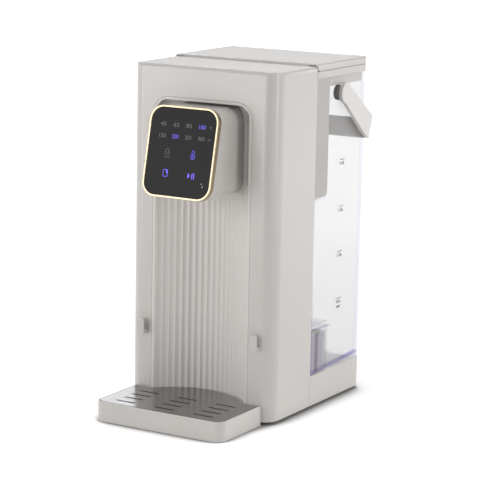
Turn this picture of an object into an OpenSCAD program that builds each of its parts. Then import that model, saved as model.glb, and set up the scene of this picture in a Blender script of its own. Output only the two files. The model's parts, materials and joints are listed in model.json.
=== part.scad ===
// Instant hot water dispenser with a fluted cup niche, a tilted touch head and a lift-off clear tank.
// Millimetres. X runs to the right, Y to the back, Z up, and the table is at Z = 0.

/* [Body] */
// Width of the housing and of the tank behind it
body_w = 143; // [130:1:170]
// Depth of the housing, from its face to the tank seam
housing_d = 68.5; // [66:0.5:90]
// Height of the housing above the table
housing_h = 298; // [290:1:330]
// Place of the front face along Y
front_y = -54; // [-56:0.5:-52]
// Wall of the housing mouldings
wall = 2.4; // [2:0.1:3]
// Radius of the two front corners, seen from above
corner_r = 14; // [10:0.5:18]
// Radius of the rounded top edges
edge_r = 4; // [2:0.5:6]
// Height of the rubber feet
foot_h = 2.5; // [2:0.1:4]
// Radius of a rubber foot
foot_r = 8; // [6:0.5:10]

/* [Niche] */
// Width of the cup niche at the front face
niche_w = 91.4; // [84:0.2:94]
// Depth of the niche at its middle
niche_d = 21.2; // [18:0.2:24]
// Distance from the top of the housing to the top of the niche
niche_drop = 29; // [26:0.5:34]
// Radius of the two upper niche corners
niche_r = 12; // [8:0.5:16]
// Thickness of the fluted panel
panel_t = 2.4; // [2.2:0.1:3]
// Number of upright flutes
flute_n = 18; // [14:1:20]
// Radius of a flute
flute_r = 3.6; // [3:0.1:4.4]
// Depth of a flute
flute_d = 0.9; // [0.6:0.05:1.1]

/* [Outlet head] */
// Width of the bezel
bezel_w = 66.5; // [60:0.5:70]
// Length of the bezel along its slope
bezel_h = 76.5; // [72:0.5:80]
// Corner radius of the bezel
bezel_r = 12.5; // [9:0.5:15]
// Depth of the bezel's side
bezel_d = 5.2; // [4.5:0.1:6]
// Width of the bezel's front ring
bezel_ring = 1.8; // [1.4:0.1:2.4]
// Slope of the touch panel, leaning back from upright
tilt = 12.2; // [8:0.2:16]
// Reach of the bezel's lower edge in front of the front face
head_reach = 42.4; // [38:0.2:46]
// Distance from the bezel's top to the top of the niche
head_gap = 0.9; // [0.6:0.1:3]
// Thickness of the touch glass
glass_t = 2; // [1.6:0.1:2.4]
// Distance of the spout in front of the front face
spout_out = 22; // [18:0.5:26]

/* [Tray] */
// Width of the drip tray
tray_w = 125.4; // [118:0.2:128]
// Reach of the tray in front of the front face
tray_reach = 65.7; // [60:0.1:75]
// Height of the tray
tray_h = 17.3; // [15:0.1:22]
// Radius of the tray's front corners
tray_r = 9; // [7:0.5:12]
// Wall of the tray at its rim
tray_rim = 1.6; // [1.4:0.1:2]
// Thickness of the slotted steel plate
plate_t = 1; // [0.8:0.1:1.5]
// Length of a drain slot
slot_l = 19.4; // [14:0.2:24]
// Width of a drain slot
slot_w = 2.2; // [1.6:0.1:3]
// Distance between slot columns
slot_col = 38.5; // [32:0.5:39]
// Distance between slot rows
slot_row = 12.1; // [10:0.1:13]

/* [Tank] */
// Wall of the clear tank
tank_wall = 2.6; // [2.2:0.1:3]
// Radius of the two rear corners
tank_r = 10; // [8:0.5:12]
// Depth of the tank behind the seam
tank_d = 96; // [90:0.5:110]
// Height of the platform that carries the tank
base_h = 29; // [27:0.5:34]
// Depth of the upper notch that holds the spine
notch_d = 23.4; // [22:0.2:30]
// Height at which the notch begins
notch_z = 185; // [160:1:200]
// Depth of the pocket over the locating posts
pocket_d = 35; // [32:0.5:38]
// Height of the pocket above the platform
pocket_h = 40; // [34:0.5:46]
// Height of the collar
collar_h = 6.1; // [5.5:0.1:7]
// Reach of the collar's skirt into the tank
skirt_h = 8.5; // [6:0.1:9]
// Height of the lid's top above the housing's top
lid_rise = 2; // [1.5:0.1:3]
// Height of the lid's edge
lid_h = 6.1; // [5.6:0.1:7]

/* [Handle] */
// Distance of the pivot behind the seam
pivot_back = 46.5; // [44:0.5:48]
// Distance of the pivot below the collar
pivot_drop = 15.5; // [15.2:0.1:18]
// Radius of the pivot pin
pin_r = 4; // [3:0.1:4.5]
// Width of the handle band
band_w = 17; // [14:0.5:19]
// Thickness of the handle band
band_t = 3.6; // [3:0.1:4.5]
// Lean of the grip from upright at rest
grip_tilt = 18; // [14:0.5:22]
// Drop of the grip's top edge below the pivot, along the lean
grip_drop = 10.5; // [8:0.5:13]

/* [Inside] */
// Radius of the heater tube
heater_r = 15; // [12:0.5:16]
// Distance from the top of the niche down to the heater tube
heater_drop = 52; // [46:1:58]
// Straight rise of the delivery hose under the heater
rise_l = 15.7; // [8:0.1:20]
// Width of the power board
board_w = 54; // [50:1:56]
// Height of the power board
board_h = 84; // [80:1:90]
// Distance from the top of the niche down to the power board's lower edge
board_drop = 132; // [120:1:140]
// Radius of the pump
pump_r = 13; // [11:0.5:14]
// Outer radius of a hose
hose_r = 4; // [3.5:0.1:4.5]
// Bore radius of a hose
hose_bore = 2.5; // [2:0.1:3]
// Bend radius of a hose
bend_r = 10; // [8:0.5:12]
// Radius of the valve tube
valve_r = 8.8; // [8:0.1:10]
// Opening stroke of the valve
valve_open = 3; // [2:0.1:4]
// Radius of the cord gland's bore
gland_r = 3.4; // [3:0.1:4]

/* [Hidden] */
$fn = 72;
// Clearance between parts that are fixed together
fit = 0.15;
// Clearance between parts that move apart
gap = 0.4;
// Radial clearance of a pivot
run = 0.05;
hw = body_w / 2;
seam_y = front_y + housing_d;
back_y = seam_y + tank_d;
floor_z = foot_h + wall;
lid_top = housing_h + lid_rise;
lid_z = lid_top - lid_h;
collar_top = lid_z - 0.3;
collar_z = collar_top - collar_h;
niche_top = housing_h - niche_drop;
niche_R = (niche_w * niche_w / 4 + niche_d * niche_d) / (2 * niche_d);
niche_cy = front_y + niche_d - niche_R;
flute_span = 2 * asin((niche_w / 2 - 3.2) / niche_R);
bezel_z = niche_top - head_gap - bezel_h * cos(tilt);
bezel_y = front_y - head_reach;
head_w = bezel_w - 0.6;
head_z = bezel_z - bezel_d * sin(tilt) + 0.3;
head_h = bezel_h * cos(tilt) - 0.6;
head_r = bezel_r - 0.3;
head_back = front_y + niche_d + 4;
flute_top = head_z + head_h - bezel_r - 1;
spout_y = front_y - spout_out;
tray_y = front_y - tray_reach;
tray_back = front_y - 0.5;
plate_z = tray_h - plate_t + 0.1;
tank_hw = hw - 0.5;
tank_y = seam_y + 0.6;
tank_z = base_h + 0.3;
tank_floor = tank_z + tank_wall;
notch_y = seam_y + notch_d;
pocket_top = base_h + pocket_h;
pocket_y = seam_y + pocket_d;
fill_hw = hw - 14;
fill_y = notch_y + 8;
fill_back = back_y - 9;
hinge_r = lid_h / 2;
hinge_y = seam_y + 0.5 + hinge_r;
hinge_z = lid_top - hinge_r;
hinge_pin = 1.4;
cheek_w = 5.5;
cheek_in = 3;
cheek_r = 2.1;
cheek_x = hw - cheek_in - cheek_w / 2;
pivot_y = seam_y + pivot_back;
pivot_z = collar_z - pivot_drop;
arm_x = hw + 0.6;
arm_out = arm_x + band_t;
hole_end = arm_out - band_t / 3;
grip_low = grip_drop + band_w;
grip_v = (back_y + gap + 0.1 - pivot_y + grip_low * sin(grip_tilt)) / cos(grip_tilt);
valve_y = pocket_y + 25;
socket_r = valve_r + 3.2;
socket_flange = base_h - wall - 2.4;
hose_z = floor_z + hose_r + 4.6;
seat_z = tank_floor + 2.5;
disc_z = seat_z + valve_open;
spring_top = disc_z + 13;
spring_r = 4.6;
spring_wire = 0.55;
spring_turns = 5;
pin_top = disc_z - 9.6;
heater_x = -hw + 38;
heater_y = seam_y - 23;
pump_x = hw - 41.5;
pump_y = seam_y - 23;
pump_z = floor_z + pump_r + 6;
pump_l = 27;
duct_z = pump_z + pump_r + 28;
heater_z = duct_z + 2 * bend_r + rise_l + 4.2;
heater_l = niche_top - heater_drop - heater_z;
arch_z = heater_z + heater_l + 24;
board_z = niche_top - board_drop;
hook_x = niche_w / 2 + panel_t + 8;
hook_z = 65;
hook_w = 7.2;
hook_h = 13;
hook_out = 5.8;
post_x = hw - 7.7;
post_top = pocket_top - 3.6;
gland_x = -hw + 30;
gland_z = foot_h + 12;
screw_x = hw - wall - 4;
foot_front = front_y + 20;

// Rectangle with four round corners
module rounded(x0, y0, x1, y1, r) {
    translate([x0 + r, y0]) square([x1 - x0 - 2 * r, y1 - y0]);
    translate([x0, y0 + r]) square([x1 - x0, y1 - y0 - 2 * r]);
    for (x = [x0 + r, x1 - r], y = [y0 + r, y1 - r]) translate([x, y]) circle(r);
}

// Rectangle with two round corners at its high edge
module arched(half, y0, y1, r) {
    translate([-half, y0]) square([2 * half, y1 - y0 - r]);
    translate([-half + r, y0]) square([2 * half - 2 * r, y1 - y0]);
    for (s = [-1, 1]) translate([s * (half - r), y1 - r]) circle(r);
}

// Drawing of X and Z carried along Y from one place to another
module along_y(y0, y1) {
    translate([0, y1, 0]) rotate([90, 0, 0]) linear_extrude(y1 - y0) children();
}

// Drawing of Y and Z carried along X, centred
module along_x(w) {
    rotate([90, 0, 90]) linear_extrude(w, center = true) children();
}

// Straight layer from one height to another
module layer(z0, z1) {
    translate([0, 0, z0]) linear_extrude(z1 - z0) children();
}

// Housing seen from above, drawn in by a margin
module housing_plan(in, back) {
    mirror([0, 1]) arched(hw - in, -back, -front_y - in, corner_r - in);
}

// Tank seen from above, drawn in by a margin
module tank_plan(half, y0, y1, r) {
    arched(half, y0, y1, r);
}

// Outline of the niche seen from the front
module niche_face(out) {
    arched(niche_w / 2 + out, -1, niche_top + out, niche_r + out);
}

// Round of the niche seen from above
module niche_round(r) {
    translate([0, niche_cy]) circle(r, $fn = 120);
}

// Flutes along the niche wall
module flute_row() {
    for (i = [0 : flute_n - 1])
        translate([0, niche_cy])
            rotate(90 - flute_span / 2 + i * flute_span / (flute_n - 1))
                translate([niche_R - flute_r + flute_d, 0]) circle(flute_r, $fn = 48);
}

// Outline of the outlet head seen from the front
module head_face(in) {
    rounded(-head_w / 2 + in, head_z + in, head_w / 2 - in, head_z + head_h - in, head_r - in);
}

// Frame on the sloping panel: X across, Y up the slope, Z out of the panel
module on_panel() {
    translate([0, bezel_y, bezel_z]) rotate([90 - tilt, 0, 0]) children();
}

// Outline of the bezel on the slope
module bezel_face(in) {
    rounded(-bezel_w / 2 + in, in, bezel_w / 2 - in, bezel_h - in, bezel_r - in);
}

// Tray seen from above, with its bulge into the niche
module tray_plan(in) {
    mirror([0, 1]) arched(tray_w / 2 - in, -tray_back + in, -tray_y - in, tray_r - in);
    intersection() {
        niche_round(niche_R - gap - 0.3 - in);
        translate([-niche_w / 2, tray_back - in - 8]) square([niche_w, niche_d + 20]);
    }
}

// Hose that leaves a point upwards, crosses over and comes down again
module arch_path(r, span, leg_a, leg_b, more) {
    translate([0, 0, -leg_a - more]) cylinder(r = r, h = leg_a + more);
    translate([bend_r, 0, 0]) rotate([90, 0, 180]) rotate_extrude(angle = 90) translate([bend_r, 0]) circle(r);
    translate([bend_r, 0, bend_r]) rotate([0, 90, 0]) cylinder(r = r, h = span - 2 * bend_r);
    translate([span - bend_r, 0, 0]) rotate([90, 0, 0]) rotate_extrude(angle = 90) translate([bend_r, 0]) circle(r);
    translate([span, 0, -leg_b - more]) cylinder(r = r, h = leg_b + more);
}

// Hose that leaves a point upwards, crosses over and goes on upwards
module step_path(r, span, leg_a, leg_b, more) {
    translate([0, 0, -leg_a - more]) cylinder(r = r, h = leg_a + more);
    translate([bend_r, 0, 0]) rotate([90, 0, 180]) rotate_extrude(angle = 90) translate([bend_r, 0]) circle(r);
    translate([bend_r, 0, bend_r]) rotate([0, 90, 0]) cylinder(r = r, h = span - 2 * bend_r);
    translate([span - bend_r, 0, 2 * bend_r]) rotate([90, 0, 0]) mirror([0, 1, 0])
        rotate_extrude(angle = 90) translate([bend_r, 0]) circle(r);
    translate([span, 0, 2 * bend_r]) cylinder(r = r, h = leg_b + more);
}

// Hose that runs forwards along the floor and turns to the right
module turn_path(r, leg_a, leg_b, more) {
    rotate([-90, 0, 0]) cylinder(r = r, h = leg_a + more);
    translate([bend_r, 0, 0]) rotate([0, 0, 180]) rotate_extrude(angle = 90) translate([bend_r, 0]) circle(r);
    translate([bend_r, -bend_r, 0]) rotate([0, 90, 0]) cylinder(r = r, h = leg_b + more);
}

module front_housing() {
    color("#cbc7c3") difference() {
        union() {
            difference() {
                intersection() {
                    layer(foot_h, housing_h) housing_plan(0, seam_y);
                    along_y(front_y - 1, seam_y + 1) arched(hw, 0, housing_h, edge_r);
                    along_x(body_w + 2) mirror([1, 0]) arched_front(-front_y, -seam_y - 1, housing_h, edge_r);
                }
                layer(foot_h - 1, housing_h - wall) housing_plan(wall, seam_y + 1);
            }
            for (s = [-1, 1], y = [front_y + 26, seam_y - 12])
                translate([s * screw_x, y, floor_z]) cylinder(r = 4.2, h = 20);
        }
        intersection() {
            layer(foot_h - 1, niche_top + 20) niche_round(niche_R + panel_t + fit);
            along_y(front_y - 1, front_y + wall + 1) niche_face(panel_t + fit);
        }
        for (s = [-1, 1], y = [front_y + 26, seam_y - 12])
            translate([s * screw_x, y, floor_z - 1]) cylinder(r = 1.6, h = 14, $fn = 24);
    }
}

// Side view of the housing with a round top edge at the front
module arched_front(y_front, y_back, top, r) {
    translate([y_back, 0]) square([y_front - y_back - r, top]);
    translate([y_back, 0]) square([y_front - y_back, top - r]);
    translate([y_front - r, top - r]) circle(r);
}

// Plan of the niche wall behind the front face, with or without its flutes
module panel_plan(fluted) {
    difference() {
        intersection() {
            niche_round(niche_R + panel_t);
            translate([-niche_w / 2 - panel_t, front_y]) square([niche_w + 2 * panel_t, niche_d + 10]);
        }
        niche_round(niche_R);
        if (fluted) flute_row();
    }
}

// Smooth stretch of the niche wall, seen from above
module smooth_plan() {
    difference() {
        intersection() {
            niche_round(niche_R + panel_t);
            translate([-niche_w, front_y]) square([2 * niche_w, niche_d + 10]);
        }
        niche_round(niche_R);
    }
}

module fluted_panel() {
    color("#c6c2be") {
        difference() {
            layer(foot_h, flute_top) panel_plan(true);
            translate([-head_w / 2 - fit, front_y - 1, head_z - fit])
                cube([head_w + 2 * fit, niche_d + 10, head_h]);
        }
        for (s = [-1, 1]) intersection() {
            layer(head_z - fit, head_z + head_r) smooth_plan();
            along_y(front_y, front_y + niche_d + 10) head_corner(s);
        }
        difference() {
            intersection() {
                layer(flute_top, niche_top + panel_t + 1) intersection() {
                    niche_round(niche_R + panel_t);
                    translate([-niche_w, front_y]) square([2 * niche_w, niche_d + 10]);
                }
                along_y(front_y - 1, front_y + niche_d + 10) niche_face(panel_t);
            }
            intersection() {
                layer(flute_top - 1, niche_top + 1) niche_round(niche_R);
                along_y(front_y - 2, front_y + niche_d + 11) arched(niche_w / 2 + 0.5, 0, niche_top, niche_r);
            }
            along_y(front_y - 3, front_y + niche_d + 12) head_hole();
        }
    }
}

// Upper edge of the hole for the head, with its two corners turned in short straight steps
module head_hole() {
    r = (head_r + fit) / cos(7.5);
    x = head_w / 2 - head_r;
    z = head_z + head_h - head_r;
    polygon(concat(
        [for (a = [7.5 : 15 : 82.5]) [x + r * cos(a), z + r * sin(a)]],
        [for (a = [97.5 : 15 : 172.5]) [-x + r * cos(a), z + r * sin(a)]],
        [[-head_w / 2 - fit, head_z], [head_w / 2 + fit, head_z]]));
}

// Corner between the square cut in the flutes and the round lower edge of the head
module head_corner(s) {
    r = head_r + fit;
    turns = [15 : 15 : 75];
    translate([s * (head_w / 2 + fit), head_z - fit]) scale([-s, 1]) polygon(concat(
        [[0, 0], [r - r * sin(15), 0]],
        [for (a = turns) [r - r * sin(a), r - r * cos(a)]],
        [[0, r - r * cos(75)]]));
}

module rear_bulkhead() {
    color("#c4c0bc") difference() {
        union() {
            along_y(seam_y - wall, seam_y) arched(hw - wall - fit, floor_z, housing_h - wall - fit, edge_r);
            for (z = [heater_z - 8, heater_z + heater_l + 36])
                translate([-hw + wall + 12, seam_y - wall - 3, z]) cube([body_w - 2 * wall - 24, 3, wall]);
        }
        translate([0, seam_y - wall - 1, hose_z]) rotate([-90, 0, 0]) cylinder(r = hose_r + 1, h = wall + 2);
        for (s = [-1, 1]) translate([s * 40 - 6, seam_y - wall - 1, floor_z + 10]) cube([12, wall + 2, 4]);
    }
}

module base_pan() {
    color("#c9c5c1") difference() {
        union() {
            layer(foot_h, floor_z) difference() {
                housing_plan(wall + fit, seam_y + 1);
                niche_round(niche_R + panel_t + fit);
            }
            difference() {
                layer(foot_h, base_h) tank_plan(hw, seam_y + fit, back_y, tank_r);
                layer(floor_z, base_h - wall) tank_plan(hw - wall, seam_y - 1, back_y - wall, tank_r - wall);
            }
            for (s = [-1, 1]) {
                locating_post(s * post_x, seam_y + 10, 7);
                locating_post(s * post_x, seam_y + 25.5, 12);
            }
        }
        translate([0, valve_y, base_h - wall - 1]) cylinder(r = socket_r + fit, h = wall + 2);
        translate([gland_x, back_y - wall - 1, gland_z]) rotate([-90, 0, 0]) cylinder(r = 6 + fit, h = wall + 2);
        for (s = [-1, 1], y = [front_y + 26, seam_y - 12])
            translate([s * screw_x, y, foot_h - 1]) cylinder(r = 2 + fit, h = wall + 2, $fn = 24);
        for (s = [-1, 1], y = [foot_front, back_y - 20])
            translate([s * (hw - 22), y, foot_h - 1]) cylinder(r = 3 + fit, h = wall + 2, $fn = 32);
        for (i = [-3 : 3]) translate([i * 7 - 1.5, seam_y + 24, foot_h - 1]) cube([3, 26, wall + 2]);
    }
}

// Round-topped post on the platform
module locating_post(x, y, w) {
    translate([x - 4, y - w / 2, base_h - 1]) cube([8, w, post_top - w / 2 - base_h + 1]);
    translate([x - 4, y, post_top - w / 2]) rotate([0, 90, 0]) cylinder(r = w / 2, h = 8);
}

module rubber_feet() {
    color("#2b2b2b") for (s = [-1, 1], y = [foot_front, back_y - 20]) translate([s * (hw - 22), y, 0]) {
        cylinder(r = foot_r, h = foot_h);
        cylinder(r = 3, h = foot_h + wall + 1, $fn = 32);
    }
}

module tray_hooks() {
    color("#c4c0bc") for (s = [-1, 1]) intersection() {
        translate([s * hook_x, 0, 0]) along_x(hook_w) union() {
            translate([front_y - hook_out, hook_z]) square([hook_out, 3]);
            translate([front_y - hook_out, hook_z]) square([1.6, hook_h]);
        }
        translate([s * hook_x, 0, 0]) along_y(front_y - hook_out - 1, front_y)
            arched(hook_w / 2, hook_z, hook_z + hook_h, 1.6);
    }
}

module head_shell() {
    color("#c8c4c0") difference() {
        along_y(bezel_y - 10, head_back) head_face(0);
        along_y(bezel_y - 11, head_back + 1) head_face(wall);
        on_panel() translate([-bezel_w, -bezel_h, -bezel_d]) cube([2 * bezel_w, 3 * bezel_h, 60]);
        translate([0, spout_y, head_z - 1]) cylinder(r = 6 + fit, h = wall + 2);
    }
}

module bezel() {
    color("#d9bf94") on_panel() difference() {
        layer(-bezel_d, 0) bezel_face(0);
        layer(-glass_t, 1) bezel_face(bezel_ring);
        layer(-bezel_d - 1, 1) bezel_face(bezel_ring + 1.8);
    }
}

module touch_glass() {
    color("#2a2a2c") on_panel() layer(-glass_t, -0.2) bezel_face(bezel_ring + fit);
}

module control_board() {
    color("#2f6b46") on_panel() {
        layer(-bezel_d - 2.4, -bezel_d - 0.8) rounded(-24, 8, 24, bezel_h - 8, 2);
        for (x = [-20, -6.7, 6.7, 20], y = [51, 61])
            translate([x - 2, y - 1.5, -bezel_d - 0.8]) cube([4, 3, bezel_d + 0.8 - glass_t]);
        for (x = [-13, 13], y = [20, 37])
            translate([x - 3, y - 3, -bezel_d - 0.8]) cube([6, 6, bezel_d + 0.8 - glass_t]);
    }
}

module spout_nozzle() {
    color("#8d8d90") translate([0, spout_y, 0]) difference() {
        union() {
            translate([0, 0, head_z - 1.6]) cylinder(r = 6, h = wall + 1.6);
            translate([0, 0, head_z + wall]) cylinder(r = 8, h = 2);
            translate([0, 0, head_z + wall + 2]) cylinder(r = hose_bore, h = 9);
        }
        translate([0, 0, head_z - 3]) cylinder(r = hose_bore - 0.8, h = wall + 20);
        translate([0, 0, head_z - 3]) cylinder(r = 4.4, h = 3.2);
    }
}

// Horizontal run of the outlet hose, from the spout to the heater
arch_span = norm([heater_x, heater_y - spout_y]);
arch_turn = atan2(heater_y - spout_y, heater_x);
arch_low = arch_z - bend_r;

module outlet_hose() {
    color("#e3e1da") translate([0, spout_y, arch_low]) rotate([0, 0, arch_turn]) difference() {
        arch_path(hose_r, arch_span, arch_low - head_z - wall - 2.1, arch_low - heater_z - heater_l - 4.1, 0);
        arch_path(hose_bore, arch_span, arch_low - head_z - wall - 2.1, arch_low - heater_z - heater_l - 4.1, 1);
    }
}

module heater() {
    color("#b9bcc0") translate([heater_x, heater_y, 0]) {
        translate([0, 0, heater_z]) cylinder(r = heater_r, h = heater_l);
        translate([0, 0, heater_z - 4]) cylinder(r = heater_r - 3, h = 4);
        translate([0, 0, heater_z + heater_l]) cylinder(r = heater_r - 3, h = 4);
        translate([0, 0, heater_z - 13]) cylinder(r = hose_bore, h = 10);
        translate([0, 0, heater_z + heater_l + 3]) cylinder(r = hose_bore, h = 10);
    }
}

module heater_bracket() {
    color("#d4d4d2") difference() {
        for (z = [heater_z + 16, heater_z + heater_l - 26]) {
            translate([heater_x, heater_y, z]) cylinder(r = heater_r + 2, h = 10);
            translate([heater_x - 8, heater_y, z]) cube([16, seam_y - wall - heater_y, 10]);
        }
        translate([heater_x, heater_y, heater_z]) cylinder(r = heater_r, h = heater_l);
    }
}

module thermostats() {
    color("#3a3a3c") difference() {
        for (z = [heater_z + 0.42 * heater_l, heater_z + 0.6 * heater_l])
            translate([heater_x, heater_y - heater_r - 4, z]) rotate([-90, 0, 0]) cylinder(r = 6, h = 7);
        translate([heater_x, heater_y, heater_z]) cylinder(r = heater_r, h = heater_l);
    }
}

module pump() {
    color("#4a4d52") {
        translate([pump_x, pump_y, pump_z]) rotate([0, 90, 0]) cylinder(r = pump_r, h = pump_l);
        translate([pump_x - 5, pump_y, pump_z]) rotate([0, 90, 0]) cylinder(r = pump_r - 3, h = 5);
        translate([pump_x - 14, pump_y, hose_z]) rotate([0, 90, 0]) cylinder(r = hose_bore, h = 16);
        translate([pump_x + 8, pump_y, pump_z]) cylinder(r = hose_bore, h = pump_r + 10);
    }
}

module pump_cradle() {
    color("#2e2e30") difference() {
        for (x = [pump_x + 4, pump_x + pump_l - 12])
            translate([x, pump_y - pump_r - 2, floor_z]) cube([8, 2 * pump_r + 4, pump_z - floor_z - 2]);
        translate([pump_x - 1, pump_y, pump_z]) rotate([0, 90, 0]) cylinder(r = pump_r, h = pump_l + 2);
    }
}

// Legs of the suction hose
suction_a = valve_y - socket_r - 1 - pump_y - bend_r;
suction_b = pump_x - 5.2 - bend_r;

module suction_hose() {
    color("#e3e1da") translate([0, pump_y + bend_r, hose_z]) difference() {
        turn_path(hose_r, suction_a, suction_b, 0);
        turn_path(hose_bore, suction_a, suction_b, 1);
    }
}

// Legs of the delivery hose
delivery_a = duct_z - pump_z - pump_r - 0.2;
delivery_b = rise_l;

module delivery_hose() {
    color("#e3e1da") translate([pump_x + 8, pump_y, duct_z]) rotate([0, 0, 180]) difference() {
        step_path(hose_r, pump_x + 8 - heater_x, delivery_a, delivery_b, 0);
        step_path(hose_bore, pump_x + 8 - heater_x, delivery_a, delivery_b, 1);
    }
}

module power_board() {
    color("#2f6b46") translate([0, seam_y - wall, board_z]) {
        translate([4, -7.6, 0]) cube([board_w, 1.6, board_h]);
        for (x = [9, board_w - 1], z = [5, board_h - 5]) translate([x, -6.2, z]) rotate([-90, 0, 0]) cylinder(r = 2.5, h = 6.2);
        translate([10, -23.5, 12]) cube([20, 16, 22]);
        translate([36, -19.5, 12]) cube([14, 12, 18]);
        for (z = [48, 64]) translate([20, -7.5, z]) rotate([90, 0, 0]) cylinder(r = 6, h = 16);
        translate([36, -17.5, 46]) cube([16, 10, 24]);
    }
}

module valve_socket() {
    color("#8d8d90") translate([0, valve_y, 0]) {
        difference() {
            union() {
                translate([0, 0, hose_z - hose_r - 2]) cylinder(r = socket_r, h = base_h - hose_z + hose_r + 2);
                translate([0, 0, socket_flange]) cylinder(r = socket_r + 4, h = base_h - wall - socket_flange);
                translate([0, -socket_r + 2, hose_z]) rotate([90, 0, 0]) cylinder(r = hose_bore, h = 9);
                translate([0, 0, floor_z]) cylinder(r = 5, h = hose_z - hose_r - 1.5 - floor_z);
            }
            translate([0, 0, hose_z - hose_r]) cylinder(r = valve_r + 0.6, h = base_h);
            translate([0, 0, base_h - 3.3]) cylinder(r = valve_r + 2.25, h = 2);
            translate([0, -3, hose_z]) rotate([90, 0, 0]) cylinder(r = hose_bore - 0.8, h = socket_r + 20);
        }
        translate([0, 0, hose_z - hose_r - 1]) cylinder(r = 1.4, h = pin_top - hose_z + hose_r + 1, $fn = 32);
    }
}

module socket_seal() {
    color("#7a3b30") translate([0, valve_y, base_h - 2.3]) rotate_extrude()
        translate([valve_r + 1.35, 0]) circle(0.9, $fn = 32);
}

module cord_gland() {
    color("#2b2b2b") translate([gland_x, back_y, gland_z]) rotate([-90, 0, 0]) difference() {
        union() {
            translate([0, 0, -wall]) cylinder(r = 6, h = wall + 1);
            cylinder(r = 8, h = 2);
            translate([0, 0, -wall - 1.6]) cylinder(r = 7.4, h = 1.6);
        }
        translate([0, 0, -wall - 3]) cylinder(r = gland_r, h = wall + 8);
    }
}

module base_screws() {
    color("#9a9da0") for (s = [-1, 1], y = [front_y + 26, seam_y - 12]) translate([s * screw_x, y, 0]) {
        translate([0, 0, foot_h - 1.6]) cylinder(r = 3.4, h = 1.6, $fn = 32);
        translate([0, 0, foot_h - 0.2]) cylinder(r = 1.6, h = wall + 10, $fn = 24);
    }
}

// Side view of the tank, drawn in by a margin on every side but the top
module tank_side(in) {
    top = collar_z + (in > 0 ? 1 : 0);
    r = 8 - in;
    translate([notch_y + in, tank_z + in]) square([back_y - 0.3 - notch_y - 2 * in, top - tank_z - in]);
    translate([tank_y + in, tank_z + in]) square([notch_d, notch_z - tank_z - r - 2 * in]);
    translate([tank_y + in + r, tank_z + in]) square([notch_d, notch_z - tank_z - 2 * in]);
    translate([tank_y + in + r, notch_z - in - r]) circle(r);
}

module water_tank() {
    color([0.85, 0.88, 0.95, 0.4]) difference() {
        intersection() {
            along_x(2 * tank_hw) tank_side(0);
            layer(tank_z - 1, housing_h) tank_plan(tank_hw, seam_y, back_y - 0.3, tank_r);
        }
        intersection() {
            along_x(2 * (tank_hw - tank_wall)) difference() {
                tank_side(tank_wall);
                translate([seam_y, 0]) square([pocket_y + tank_wall - seam_y, pocket_top + tank_wall]);
            }
            layer(tank_z - 1, housing_h)
                tank_plan(tank_hw - tank_wall, seam_y, back_y - 0.3 - tank_wall, tank_r - tank_wall);
        }
        translate([-tank_hw + tank_wall, seam_y - 1, tank_z - 1])
            cube([2 * (tank_hw - tank_wall), pocket_y - seam_y + 1, pocket_top - tank_z + 1]);
        translate([0, valve_y, tank_z - 1]) cylinder(r = valve_r, h = tank_wall + 2);
        translate([-hw, pivot_y, pivot_z]) rotate([0, 90, 0]) cylinder(r = pin_r, h = body_w);
    }
}

module tank_collar() {
    color("#cbc7c3") {
        difference() {
            layer(collar_z, collar_top) tank_plan(hw, seam_y + 0.5, back_y, tank_r);
            layer(collar_z - 1, collar_top + 1) rounded(-fill_hw, fill_y, fill_hw, fill_back, 8);
        }
        layer(collar_z - skirt_h, collar_z + 0.5) difference() {
            skirt_plan(fit);
            skirt_plan(2);
        }
        for (s = [-1, 1]) {
            translate([s * cheek_x, hinge_y, hinge_z]) rotate([0, 90, 0])
                cylinder(r = cheek_r, h = cheek_w, center = true);
            translate([s * cheek_x - cheek_w / 2, hinge_y - 1.2, collar_z + 1])
                cube([cheek_w, 2.4, hinge_z - collar_z - 1]);
            translate([s * (cheek_x - cheek_w / 2 - 3), hinge_y, hinge_z]) rotate([0, 90, 0])
                cylinder(r = hinge_pin, h = 8, center = true);
        }
    }
}

// Skirt seen from above, drawn in from the tank's inner wall
module skirt_plan(in) {
    rounded(-tank_hw + tank_wall + in, notch_y + tank_wall + in, tank_hw - tank_wall - in,
        back_y - 0.3 - tank_wall - in, tank_r - tank_wall - in);
}

module tank_spine() {
    color("#cbc7c3") difference() {
        along_x(2 * tank_hw) union() {
            translate([tank_y, notch_z + fit + 4]) square([notch_d - 0.6 - fit, collar_z - notch_z - fit - 4]);
            translate([tank_y, notch_z + fit]) square([notch_d - 4.6 - fit, 10]);
            translate([notch_y - fit - 4, notch_z + fit + 4]) circle(4);
        }
        along_x(2 * tank_hw - 2 * wall)
            translate([tank_y - 1, notch_z + fit + wall])
                square([notch_d + 0.4 - fit - wall, collar_z - notch_z - fit - 2 * wall]);
    }
}

module valve_body() {
    color("#8d8d90") translate([0, valve_y, 0]) {
        difference() {
            union() {
                translate([0, 0, tank_floor]) cylinder(r = valve_r + 6, h = seat_z - tank_floor);
                translate([0, 0, base_h - 5]) cylinder(r = valve_r, h = seat_z - base_h + 5);
            }
            translate([0, 0, base_h - 6]) cylinder(r = valve_r - 2.4, h = seat_z);
        }
        difference() {
            union() {
                translate([0, 0, base_h - 4]) cylinder(r = 3.6, h = seat_z - base_h + 2);
                for (a = [0, 120, 240]) rotate(a) translate([2.6, -0.8, base_h - 3])
                    cube([valve_r - 4, 1.6, seat_z - base_h]);
            }
            translate([0, 0, base_h - 6]) cylinder(r = 1.8 + run, h = seat_z, $fn = 32);
        }
    }
}

// Point on the spring's centre line, with flat end curls
function coil_z(t) = spring_wire + (spring_top - disc_z - 2 - 2 * spring_wire) * t;
function coil_at(t) = [spring_r * cos(360 * spring_turns * t), spring_r * sin(360 * spring_turns * t), coil_z(t)];
coil_rings = 8 * spring_turns;
coil_gap = (spring_top - disc_z - 2 - 2 * spring_wire) / spring_turns - 2 * spring_wire;

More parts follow.
